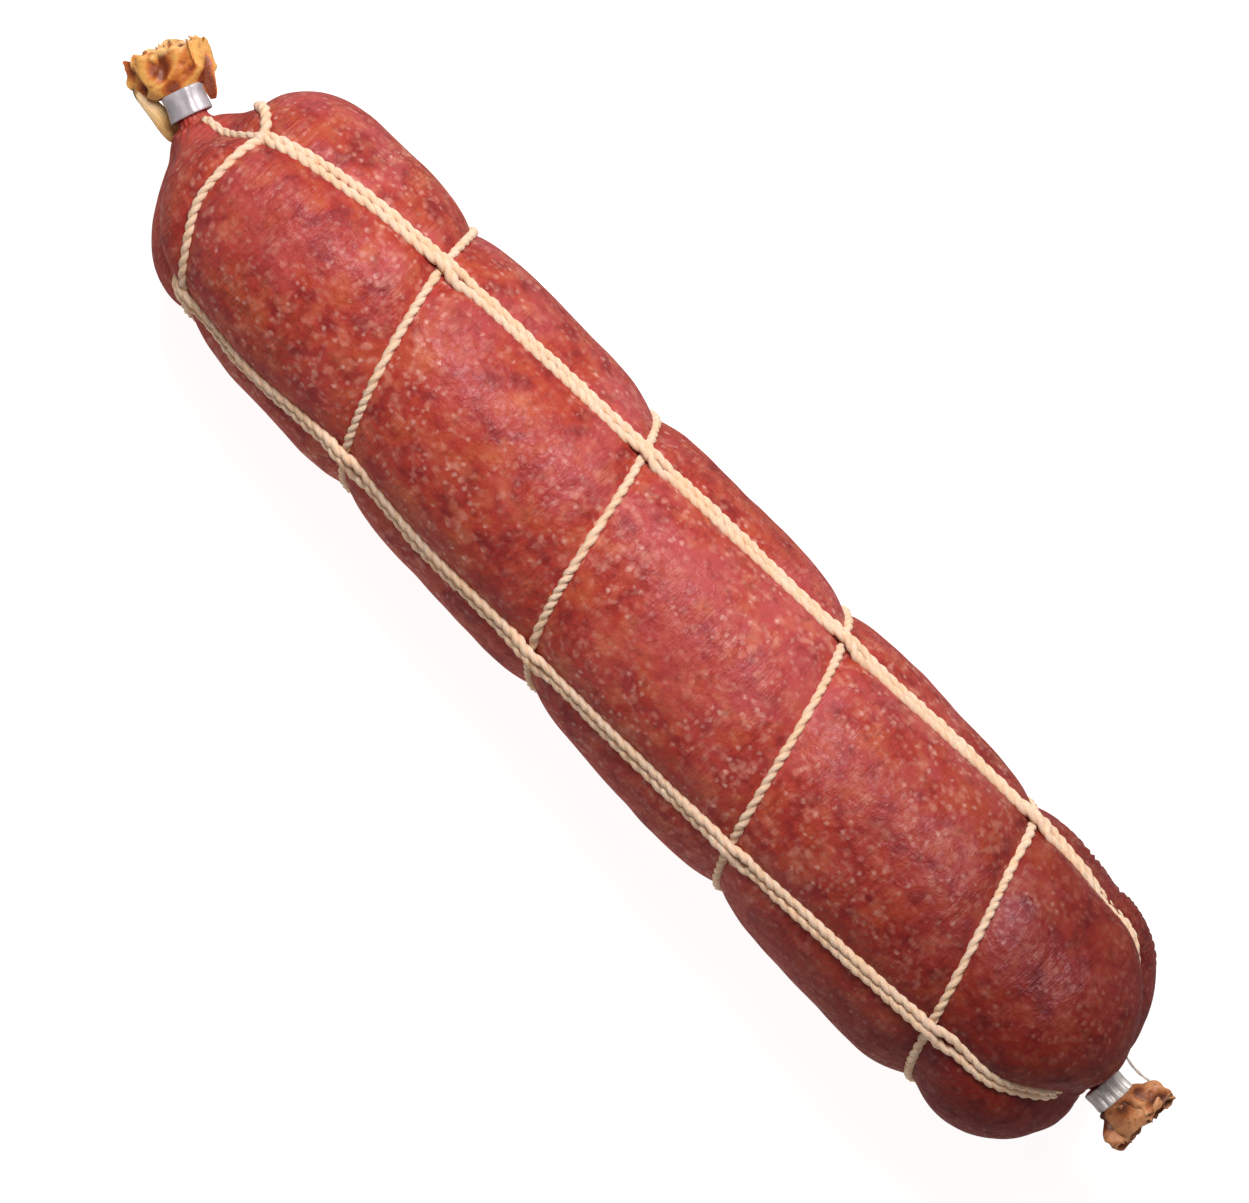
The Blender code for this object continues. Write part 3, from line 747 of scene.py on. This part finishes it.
# Sheets of the tails. Reach and rim are in mm; front and right say how much shorter those sides are.
TAIL_SHEETS = {
    "head": [
        {"reach": 10.3, "rim": 8.0, "flat": 0.60, "front": 0.20, "right": 0.14, "folds": (2, 3, 5), "seed": 5},
        {"reach": 10.2, "rim": 5.6, "flat": 0.66, "front": 0.10, "right": 0.05, "folds": (2, 4, 5), "seed": 6},
        {"reach": 9.4, "rim": 3.2, "flat": 0.80, "front": 0.0, "right": 0.0, "folds": (3, 4, 6), "seed": 9},
    ],
    "foot": [
        {"reach": 8.2, "rim": 6.9, "flat": 0.56, "front": 0.20, "right": -0.06, "folds": (2, 3, 5), "seed": 15},
        {"reach": 8.2, "rim": 5.6, "flat": 0.66, "front": 0.08, "right": 0.0, "folds": (2, 4, 5), "seed": 16},
        {"reach": 6.8, "rim": 3.6, "flat": 0.80, "front": 0.0, "right": 0.0, "folds": (3, 4, 6), "seed": 19},
    ],
}
TAIL_DRIFT = {"head": 0.0, "foot": 1.5 * MM}  # how far a tail leans to its left
TAIL_MOUTH = {"head": 5.4 * MM, "foot": 4.0 * MM}  # half-width of the tails where they leave the clips
SHEET_AROUND = 150
SHEET_ROWS = 40
SHEET_THICKNESS = 0.24 * MM
FOLD_SHARES = (0.07, 0.10, 0.10)
FOLD_LEAN = 0.20
FLARE = 4.5  # how soon past the clip a tail is at its widest
CRUMPLES = ((7.0 * MM, 1.7 * MM), (3.6 * MM, 0.70 * MM), (1.5 * MM, 0.12 * MM))
RIM_RAGGED = 0.05
CRUMPLE_SEED = 8


def crumple(points, normals, seed, strength):
    """Pushes a sheet's points in and out along sharp-edged random folds. Also returns how far out."""
    mathutils_noise.seed_set(CRUMPLE_SEED)
    moved = points.copy()
    out = np.zeros(len(points))
    for row, (size, depth) in enumerate(CRUMPLES):
        for i, place in enumerate(points):
            at = Vector(place / size) + Vector((seed * 3.7, row * 9.1, seed * 1.3))
            ridge = 1 - 2 * abs(mathutils_noise.noise(at))
            side = mathutils_noise.noise_vector(at * 0.8 + Vector((5, 5, 5)))
            moved[i] += (normals[i] * (ridge - 0.55) + np.array(side) * 0.45) * depth * strength[i]
            out[i] += (ridge - 0.55) * depth
    return moved, out


def tail_sheet(end, sheet):
    """One ruffled tube of casing past the clip, as rings, with fold and rim values for its material."""
    start, direction, across = neck_frame(end)
    draw = np.random.default_rng(sheet["seed"])
    s = np.linspace(0, math.tau, SHEET_AROUND, endpoint=False)
    t = np.linspace(0, 1, SHEET_ROWS)[:, None]
    phases = draw.uniform(0, math.tau, 6)
    ripple = sum(
        share * np.cos(count * s + phase)
        for share, count, phase in zip(FOLD_SHARES, sheet["folds"], phases)
    )
    lean = FOLD_LEAN * (np.sin(sheet["folds"][1] * s + phases[3]) + 0.6 * np.sin(sheet["folds"][2] * s + phases[4]))
    rim, mouth = sheet["rim"] * MM, min(TAIL_MOUTH[end], sheet["rim"] * MM * 0.7)
    radius = mouth + (rim - mouth) * (1 - (1 - t) ** FLARE)
    wide = radius * (1 + ripple * smooth_step(t * 2.5))
    angle = s + lean * smooth_step(t * 2)
    flat = sheet["flat"]
    ragged = sum(np.cos(n * s + draw.uniform(0, math.tau)) / k for k, n in enumerate((5, 11, 17, 29), 1))
    front = (0.5 + 0.5 * np.cos(s)) ** 1.5
    right = np.maximum(np.sin(s), 0) ** 2
    reach_end = sheet["reach"] * MM * (1 - sheet["front"] * front - sheet["right"] * right + RIM_RAGGED * ragged)
    reach = TAIL_START[end] + reach_end * t
    up = np.array([0.0, 0, 1])
    points = (
        start
        + reach[..., None] * direction
        + (wide * np.sin(angle) + TAIL_DRIFT[end] * smooth_step(t * 2))[..., None] * across
        + (wide * np.cos(angle) * flat)[..., None] * up
    )
    normals = np.sin(angle)[..., None] * across + np.cos(angle)[..., None] * up
    strength = (smooth_step(t * 3.5) * np.ones_like(s)).reshape(-1)
    crumpled, out = crumple(
        points.reshape(-1, 3), (normals * np.ones_like(points)).reshape(-1, 3), sheet["seed"], strength
    )
    return crumpled.reshape(points.shape), out / MM, t * np.ones_like(s)


# The tones run from painted shade in the fold hollows to painted light on the crests
TAIL_COLOURS = {
    "head": {
        "deep": (0.20, 0.038, 0.010),
        "low": (0.44, 0.105, 0.022),
        "body": (0.60, 0.18, 0.034),
        "high": (0.75, 0.36, 0.09),
        "rim": (0.82, 0.50, 0.21),
    },
    "foot": {
        "deep": (0.13, 0.032, 0.012),
        "low": (0.32, 0.095, 0.030),
        "body": (0.44, 0.14, 0.050),
        "high": (0.56, 0.24, 0.10),
        "rim": (0.58, 0.29, 0.14),
    },
}


def tail_finish(end, label="_tail_film"):
    """Dried casing film: amber, with painted shade in the fold hollows and painted light on the fold crests, and
    paler at the rim.
    """
    tones = TAIL_COLOURS[end]
    f = Finish(
        end + label,
        Subsurface_Weight=0.12,
        Subsurface_Radius=(1.0, 0.4, 0.12),
        Subsurface_Scale=1.2 * MM,
        Coat_Weight=0.1,
        Coat_Roughness=0.3,
        Specular_IOR_Level=0.35,
    )
    fold, rim = f.attribute("fold"), f.attribute("rim")
    blotches = f.noise(f.place(), 190, 3, 0.6, 0.6)
    # On the tail sheets fold is how far a crumple pushes the film out, so the ramp paints shade into the hollows
    # and light onto the crests; the blotches are the film's own tone
    value = f.maths("ADD", f.band(fold, -0.75, 0.75), f.times(f.maths("SUBTRACT", blotches, 0.5), 1.6))
    colour = f.ramp(
        value, (0.10, tones["deep"]), (0.36, tones["low"]), (0.58, tones["body"]), (0.92, tones["high"])
    )
    edge = f.times(f.band(rim, 0.86, 1.0), f.band(blotches, 0.60, 0.44))
    colour = f.mix(f.times(edge, 0.85), colour, tones["rim"])
    streaks = f.noise(f.place(shift=(2, 2, 2)), 800, 3, 0.6, 0.8)
    colour = f.mix(f.times(f.band(streaks, 0.45, 0.30), 0.45), colour, tones["deep"])
    relief = f.bump(streaks, 0.20 * MM)
    return f.finished(colour, f.band(streaks, 0.3, 0.7, 0.34, 0.60), relief)


def tail(end):
    """All sheets of a tail, in one piece."""
    rings, folds, rims = zip(*(tail_sheet(end, sheet) for sheet in TAIL_SHEETS[end]))
    around, rows = SHEET_AROUND, SHEET_ROWS
    index = np.arange(rows * around).reshape(rows, around)
    turned = np.roll(index, -1, axis=1)
    quads = np.stack([index[:-1], turned[:-1], turned[1:], index[1:]], -1).reshape(-1, 4)
    faces = np.concatenate([quads + i * rows * around for i in range(len(rings))])
    mesh = bpy.data.meshes.new(f"{end}_tail")
    mesh.from_pydata(np.concatenate([r.reshape(-1, 3) for r in rings]).tolist(), [], faces.tolist())
    mesh.shade_smooth()
    mesh.materials.append(tail_finish(end))
    obj = bpy.data.objects.new(f"{end}_tail", mesh)
    attribute(obj, "fold", np.array(folds))
    attribute(obj, "rim", np.array(rims))
    wall = obj.modifiers.new("wall", "SOLIDIFY")
    wall.thickness = SHEET_THICKNESS
    wall.offset = 0
    return show(obj, ["casing"])


# Twine


def resampled(points, outward):
    """The path at even steps, lightly smoothed, with its length at each point."""
    length = np.concatenate([[0], np.cumsum(np.linalg.norm(np.diff(points, axis=0), axis=1))])
    even = np.linspace(0, length[-1], round(length[-1] / STRAND_SAMPLE) + 1)
    place = np.stack([np.interp(even, length, points[:, i]) for i in range(3)], -1)
    out = np.stack([np.interp(even, length, outward[:, i]) for i in range(3)], -1)
    kernel = np.exp(-(np.arange(-4, 5) ** 2) / 6.0)
    kernel /= kernel.sum()
    for _ in range(2):
        padded = np.concatenate([place[:1].repeat(4, 0), place, place[-1:].repeat(4, 0)])
        smooth = np.stack([np.convolve(padded[:, i], kernel, "valid") for i in range(3)], -1)
        smooth[[0, -1]] = place[[0, -1]]
        place = smooth
    return place, out, even


def cross_axes(points, outward):
    """Directions across a path, sideways and up off the body."""
    tangent = np.gradient(points, axis=0)
    tangent /= np.linalg.norm(tangent, axis=1)[:, None]
    up = outward - np.einsum("ij,ij->i", outward, tangent)[:, None] * tangent
    up /= np.linalg.norm(up, axis=1)[:, None]
    return np.cross(tangent, up), up


def plied(points, outward, length, seed, size=1.0):
    """Rings of a plied strand along a path, with how deep and where round it each point lies."""
    side, up = cross_axes(points, outward)
    phase = seed * 1.7 + 0.9 * wander(length, 16 * MM, seed)
    twist = math.tau * length / LAY + phase
    corner = np.arange(PLIES * PLY_SIDES) * math.tau / (PLIES * PLY_SIDES)
    off = np.radians(wrapped(np.degrees(corner), TURN / PLIES))
    reach = PLY_OFFSET * np.cos(off) + np.sqrt(PLY_RADIUS**2 - (PLY_OFFSET * np.sin(off)) ** 2)
    swell = 1 + 0.09 * wander(length, 5 * MM, seed + 50)
    fuzz = 1 + 0.035 * np.random.default_rng(seed + 90).normal(size=(len(length), len(corner)))
    radius = np.outer(swell * size, reach) * fuzz
    angle = twist[:, None] + corner
    rings = (
        points[:, None]
        + (radius * np.sin(angle))[..., None] * side[:, None]
        + (radius * np.cos(angle))[..., None] * up[:, None]
    )
    depth = (reach.max() - reach) / (reach.max() - reach.min())
    return rings, np.broadcast_to(depth, radius.shape), np.broadcast_to(corner, radius.shape)


def strand_piece(name, node, path, finish, seed, size=1.0):
    points, outward, length = path
    rings, depth, around = plied(points, outward, length, seed, size)
    obj = loft(name, rings, finish)
    attribute(obj, "depth", depth)
    attribute(obj, "around", around)
    attribute(obj, "along", np.broadcast_to(length[:, None], depth.shape) + seed)
    return show(obj, [node])


def crossings(line):
    """The places along the body where a line crosses the winding strand."""
    wound = np.arange(WINDING[0][0], WINDING[-1][0], 0.5)
    u = winding_u(wound)
    off = wrapped(QUARTER - wound - line_angle(line, u))
    meets = (off[:-1] * off[1:] <= 0) & (np.abs(off[:-1]) < QUARTER)
    return along_at(u[:-1][meets])


def bump_between(x, start, length):
    """A smooth bump that starts at start and is over a length later."""
    t = np.clip((x - start) / length, 0, 1)
    return np.sin(math.pi * t) ** 2


THIN_END_RADIUS = 4.4 * MM
THIN_END = 0.70  # size of the right line between the head clip and its first crossing
LOOP_RISE = 0.25 * MM


def line_path(line, side, seed):
    """The path of one strand of a doubled line, and its size along it."""
    ends = PROFILE_ALONG[PROFILE_RADIUS > (THIN_END_RADIUS if line == 0 else LINE_END_RADIUS)][[0, -1]]
    shut = along_at(np.array(SHOWN[line]) * MM + np.array([-CLOSED_END, CLOSED_END]))
    first = ends[0] if line == 0 else max(ends[0], shut[0])  # the right line runs on to the head's clip
    along = np.arange(first, min(ends[1], shut[1]), STRAND_SAMPLE)
    u, radius = profile_at(along)
    humps = [c for c in crossings(line) if ends[0] < c < ends[1]]
    near = np.minimum(sum(np.exp(-(((along - c) / CROSSING_REACH) ** 2)) for c in humps), 1)
    slit = sum(bump_between(along, c + SLIT_START, SLIT_LENGTH) for c in humps[line == 0:])
    pair = (PAIR_STEP - (PAIR_STEP - CROSSING_STEP) * near) * (1 - CLOSED_NARROW * closed(line, u))
    size = PAIR_SIZE * (1 - CLOSED_THIN * closed(line, u))
    if line == 0:
        thin = thinned(line, u)
        size = size * (1 - (1 - THIN_END) * thin)
        pair = pair * (1 - 0.75 * thin)
    own = 0.13 * MM * wander(along, 11 * MM, seed)
    shared = 0.30 * MM * wander(along, 38 * MM, 200 + line)
    loose = SLIT_LOOSE if side < 0 else SLIT_FIRM
    lateral = side * (pair / 2 + loose * slit) + own + shared
    theta = line_angle(line, u) + np.degrees(lateral / (radius * SUNK_RADIUS))
    sunk = limited(line_dent(u, radius, line_angle(line, u)), radius)
    sunk = sunk - (CROSSING_RISE + LOOP_RISE * (side < 0)) * near
    sunk = sunk + 0.10 * MM * wander(along, 14 * MM, seed + 9) + CLOSED_DEPTH * closed(line, u)
    if line == 0:
        sunk = sunk - FOOT_LIFT * bump_between(u, FOOT_LIFT_START, FOOT_LIFT_LENGTH)
    path = resampled(*on_body(along, theta, sunk))
    return path, np.interp(path[2] / path[2][-1], np.linspace(0, 1, len(size)), size)


HOOP_PROUD = 0.1 * MM
FREE_END_RUN = [(-0.6, -4.8, -4.2), (-1.2, -3.6, -7.2)]  # as in STRIP, in mm
WIDE_CROSSING = (55.0, 22.0, 1.22)  # wound angle, spread and size of the strand's broadest stretch
FLOOR_CLEARANCE = 1.2 * MM


def winding_path():
    """The winding strand from under the head's nose, and its size along it."""
    wound = np.arange(WINDING[0][0], WINDING[-1][0], 0.8)
    along, theta = along_at(winding_u(wound)), QUARTER - wound
    u, radius = profile_at(along)
    sunk = dent(u, radius, along, theta) - HOOP_PROUD + 0.08 * MM * wander(wound / TURN * 0.19, 12 * MM, 77)
    points, outward = on_body(along, theta, sunk)
    points[:, 2] = np.maximum(points[:, 2], FLOOR_CLEARANCE)
    start, direction, across = neck_frame("head")
    free = np.array([start + direction * a * MM + across * b * MM + [0, 0, c * MM] for a, b, c in FREE_END_RUN])
    level = np.tile([-1.0, 0, 0], (len(free), 1))
    place, spread, most = WIDE_CROSSING
    size = 1 + (most - 1) * np.exp(-(((wound - place) / spread) ** 2))
    size = np.concatenate([np.ones(len(free)), size])
    route = np.concatenate([free, points])
    length = np.concatenate([[0], np.cumsum(np.linalg.norm(np.diff(route, axis=0), axis=1))])
    path = resampled(route, np.concatenate([level, outward]))
    return path, np.interp(path[2], length, size)


def net():
    """The winding strand and the eight strands of the four lines."""
    cream = twine_finish("twine_cotton", (0.98, 0.70, 0.51), (0.86, 0.44, 0.22))
    path, size = winding_path()
    strand_piece("winding_strand", "twine_winding", path, cream, 1, size)
    for line, place in enumerate(("right", "under_right", "under_left", "left")):
        for side, label in ((-1, "a"), (1, "b")):
            seed = 10 + 4 * line + side
            path, size = line_path(line, side, seed)
            strand_piece(
                f"line_{place}_{label}", f"twine_{place}_{label}", path, cream, seed, size
            )


# Flat strips by the head clip, as (along the neck, across it, up, half-width) in mm
STRIP = [
    (9.8, -9.0, -0.8, 0.3), (8.9, -8.5, -0.9, 0.9), (7.3, -7.6, -1.0, 1.4), (5.6, -6.8, -1.2, 1.7),
    (3.8, -6.1, -1.4, 1.9), (2.0, -5.5, -1.7, 2.1), (0.4, -4.8, -2.6, 2.3), (-1.0, -4.2, -3.9, 2.2),
    (-2.2, -3.8, -5.4, 1.4),
]
FLAP = [
    (12.6, 4.9, 1.0, 1.2), (11.0, 5.5, 1.4, 2.0), (9.2, 5.8, 1.6, 2.1), (7.4, 5.7, 1.5, 1.8),
    (5.4, 5.6, 1.2, 1.4), (3.8, 5.5, 0.8, 1.1), (2.6, 5.3, 0.4, 0.6),
]
STRIP_HALF_THICKNESS = 0.42 * MM
STRIP_AROUND = 36
STRIP_STEPS = 90
STRIP_POWER = 3.0  # of its rounded oblong cross-section


def strip_finish():
    """Twine fibres pressed flat, browned at both ends."""
    f = Finish("pressed_twine", Specular_IOR_Level=0.3)
    along, around = f.attribute("along"), f.attribute("around")
    fibres = f.noise(f.joined(f.times(along, 2.2), f.times(around, 9.0)), 1.0, 4, 0.65)
    pale = f.ramp(fibres, (0.34, (0.66, 0.36, 0.15)), (0.50, (0.84, 0.55, 0.28)), (0.64, (0.93, 0.72, 0.45)))
    ochre = f.ramp(fibres, (0.34, (0.46, 0.23, 0.07)), (0.50, (0.70, 0.42, 0.15)), (0.64, (0.84, 0.58, 0.26)))
    colour = f.mix(f.band(along, 0.30, 0.70), pale, ochre)
    ends = f.maths("ADD", f.band(along, 0.14, 0.0), f.band(along, 0.90, 1.0))
    colour = f.mix(f.times(ends, 0.80), colour, (0.20, 0.095, 0.035))
    return f.finished(colour, 0.75, f.bump(fibres, 0.25 * MM))


def ribbon(name, knots, finish, seed, frayed):
    """A flat strip by the head clip, ragged at its first end."""
    start, direction, across = neck_frame("head")
    knots = np.array(knots) * MM
    t = np.linspace(0, 1, STRIP_STEPS)
    shape = np.stack([smooth_through(list(zip(np.linspace(0, 1, len(knots)), k)), t) for k in knots.T], -1)
    points = start + shape[:, :1] * direction + shape[:, 1:2] * across + shape[:, 2:3] * np.array([0, 0, 1])
    side, up = cross_axes(points, np.tile([0.0, 0, 1], (len(points), 1)))
    phi = np.linspace(0, math.tau, STRIP_AROUND, endpoint=False)
    sine, cosine = (np.sign(v) * np.abs(v) ** (2 / STRIP_POWER) for v in (np.sin(phi), np.cos(phi)))
    draw = np.random.default_rng(seed)
    ragged = 1 + 0.22 * np.outer(np.exp(-t / 0.08), draw.normal(size=len(phi)))
    crinkle = 1 + 0.10 * np.sin(phi * 7) + 0.05 * draw.normal(size=(len(t), len(phi)))
    wide = shape[:, 3:4] * cosine * ragged
    thick = STRIP_HALF_THICKNESS * sine * crinkle
    fray = frayed * np.outer(np.exp(-t / 0.05), draw.normal(size=len(phi)))
    rings = points[:, None] + wide[..., None] * side[:, None] + thick[..., None] * up[:, None]
    rings = rings + fray[..., None] * direction
    obj = loft(name, rings, finish)
    attribute(obj, "along", np.repeat(t[:, None], len(phi), 1))
    attribute(obj, "around", np.repeat(np.abs(phi - math.pi)[None], len(t), 0))
    attribute(obj, "fold", np.repeat(0.5 * np.cos(phi * 2)[None] - 0.25, len(t), 0))
    attribute(obj, "rim", np.zeros((len(t), len(phi))))
    return obj


def strips():
    """The twine's free end, pressed flat and frayed, and a rolled flap of the head's tail."""
    free_end = ribbon("twine_free_end", STRIP, strip_finish(), 31, 0.9 * MM)
    show(free_end, ["twine_winding"])
    flap = ribbon("head_tail_flap", FLAP, tail_finish("head", "_flap_film"), 32, 0.3 * MM)
    show(flap, ["casing"])


# Clips


def clip_finish(name, tone):
    """Rolled aluminium, brushed along the band and dulled in patches."""
    f = Finish(name, Metallic=0.35, Specular_IOR_Level=0.5)
    brushed = f.noise(f.place((1, 1, 4)), 1400, 3, 0.6)
    dull = f.noise(f.place(), 360, 3, 0.6)
    colour = f.mix(f.band(dull, 0.42, 0.66), tone, tuple(c * 0.74 for c in tone))
    relief = f.bump(brushed, 0.05 * MM)
    return f.finished(colour, f.band(brushed, 0.3, 0.7, 0.32, 0.50), relief)


CLIP_AROUND = 180
CLIP_EDGE = 0.3 * MM
CLIP_LOOKS = {
    "head": {"height": 7.8 * MM, "power": 2.6, "roof": 0.10, "ridges": 5, "ridge": 0.02,
             "tone": (0.54, 0.50, 0.53)},
    "foot": {"height": 6.6 * MM, "power": 2.4, "roof": 0.0, "ridges": 11, "ridge": 0.24,
             "tone": (0.92, 0.87, 0.82)},
}
CLIP_PINCH = 0.05
CLIP_SKEW = 0.06


def clip(end):
    """A crimped band round the neck with rounded edges and pressed flutes."""
    shape, look = CLIPS[end], CLIP_LOOKS[end]
    start, direction, across = neck_frame(end)
    phi = np.linspace(0, math.tau, CLIP_AROUND, endpoint=False)
    power = look["power"]
    sine, cosine = np.sin(phi), np.cos(phi)
    tall, wide = look["height"] / 2, (shape["width"] / 2) / (1 + look["ridge"] * 0.4)
    oval = (np.abs(sine / tall) ** power + np.abs(cosine / wide) ** power) ** (-1 / power)
    oval = oval * (1 + look["roof"] * np.exp(-((wrapped(np.degrees(phi) - 78) / 14) ** 2)))
    inner = NECK_RADIUS[end] + 0.05 * MM
    flutes = look["ridge"] * (np.abs(np.sin(phi * look["ridges"] / 2 + 0.3)) - 0.6)
    half, edge, wall = shape["length"] / 2, CLIP_EDGE, shape["wall"]
    bend = np.linspace(0, math.pi / 2, 5)
    outline = [(-half + edge * (1 - math.cos(a)), edge * (1 - math.sin(a))) for a in bend]
    spread = np.linspace(-half + edge, half - edge, 15)[1:-1]
    outer = outline + [(x, 0) for x in spread] + [(-x, d) for x, d in outline[::-1]]
    rings = []
    for x, depth in outer:
        middle = math.cos(x / half * math.pi / 2)
        radius = oval * (1 - CLIP_PINCH * middle**2) * (1 + flutes * (0.35 + 0.65 * max(middle, 0) ** 0.5))
        rings.append((x, radius - depth))
    lip = np.minimum(oval - wall, inner * 1.4)
    rings += [(half - edge / 2, lip), (half * 0.6, np.full_like(phi, inner))]
    rings += [(-half * 0.6, np.full_like(phi, inner)), (-half + edge / 2, lip)]
    centre = start + direction * shape["middle"]
    built = np.array(
        [
            centre
            + np.outer(x + CLIP_SKEW * radius * cosine, direction)
            + np.outer(radius * cosine, across)
            + np.outer(radius * sine, [0, 0, 1])
            for x, radius in rings + rings[:1]
        ]
    )
    obj = loft(end + "_clip_band", built, clip_finish(end + "_clip_metal", look["tone"]), capped=False)
    return show(obj, [end + "_clip"])


THREAD_RUN = [(-1.2, 7.6, 0.5), (0.6, 7.1, 0.9), (2.6, 6.8, 1.1), (4.8, 6.9, 0.9), (6.6, 7.3, 0.4)]  # mm, as STRIP
THREAD_SIZE = 0.26


def foot_thread():
    """The thin end of thread by the foot's clip."""
    start, direction, across = neck_frame("foot")
    points = np.array([start + direction * a * MM + across * b * MM + [0, 0, c * MM] for a, b, c in THREAD_RUN])
    grey = twine_finish("grey_thread", (0.86, 0.83, 0.80), (0.60, 0.56, 0.53))
    path = resampled(points, np.tile([0.0, 0, 1], (len(points), 1)))
    return strand_piece("grey_thread_end", "foot_thread", path, grey, 3, THREAD_SIZE)


# Stage

VIEW_ROLL = 46.4  # how far the sausage points down to the right in the picture
VIEW_WIDTH = 249.8 * MM  # of the picture at the sausage's outline
VIEW_CENTRE = (-1.1 * MM, -2.6 * MM, 30.0 * MM)
LENS = 200.0
SENSOR = 36.0


def camera():
    data = bpy.data.cameras.new("camera")
    data.lens = LENS
    data.sensor_width = SENSOR
    obj = bpy.data.objects.new("camera", data)
    bpy.context.scene.collection.objects.link(obj)
    distance = VIEW_WIDTH * LENS / SENSOR
    obj.location = Vector(VIEW_CENTRE) + Vector((0, 0, distance))
    obj.rotation_euler = (0, 0, math.radians(VIEW_ROLL))
    bpy.context.scene.camera = obj


def light(name, place, target, width, height, power, colour=(1, 1, 1)):
    data = bpy.data.lights.new(name, "AREA")
    data.shape = "RECTANGLE"
    data.size, data.size_y = width, height
    data.energy = power
    data.color = colour
    obj = bpy.data.objects.new(name, data)
    bpy.context.scene.collection.objects.link(obj)
    obj.location = place
    obj.rotation_mode = "QUATERNION"
    obj.rotation_quaternion = (Vector(target) - Vector(place)).to_track_quat("-Z", "Y")


FLOOR_HALF = 1.6
FLOOR_DROP = 0.05 * MM


def floor():
    corners = [(x, y, -FLOOR_DROP) for x, y in ((-1, -1), (1, -1), (1, 1), (-1, 1))]
    mesh = bpy.data.meshes.new("floor")
    mesh.from_pydata([(x * FLOOR_HALF, y * FLOOR_HALF, z) for x, y, z in corners], [], [(0, 1, 2, 3)])
    f = Finish("floor_paper", Emission_Color=(1, 0.99, 0.985, 1), Emission_Strength=0.92)
    tone = f.mix(f.noise(f.place(), 40, 2), (0.28, 0.28, 0.28), (0.30, 0.30, 0.30))
    mesh.materials.append(f.finished(tone, 0.8))
    obj = bpy.data.objects.new("floor", mesh)
    obj.visible_glossy = False  # keeps the bright paper from veiling the glossy casing
    bpy.context.scene.collection.objects.link(obj)


def lights():
    world = bpy.data.worlds.new("studio")
    world.use_nodes = True
    background = world.node_tree.nodes["Background"]
    background.inputs["Color"].default_value = (1, 0.94, 0.93, 1)
    background.inputs["Strength"].default_value = 0.22
    bpy.context.scene.world = world
    light("key", (-0.22, 0.36, 0.68), (0, 0, 0.03), 0.50, 0.26, 7.3)
    bpy.context.scene.view_settings.view_transform = "Standard"


casing()
tail("head")
tail("foot")
net()
strips()
clip("head")
clip("foot")
foot_thread()
floor()
lights()
camera()
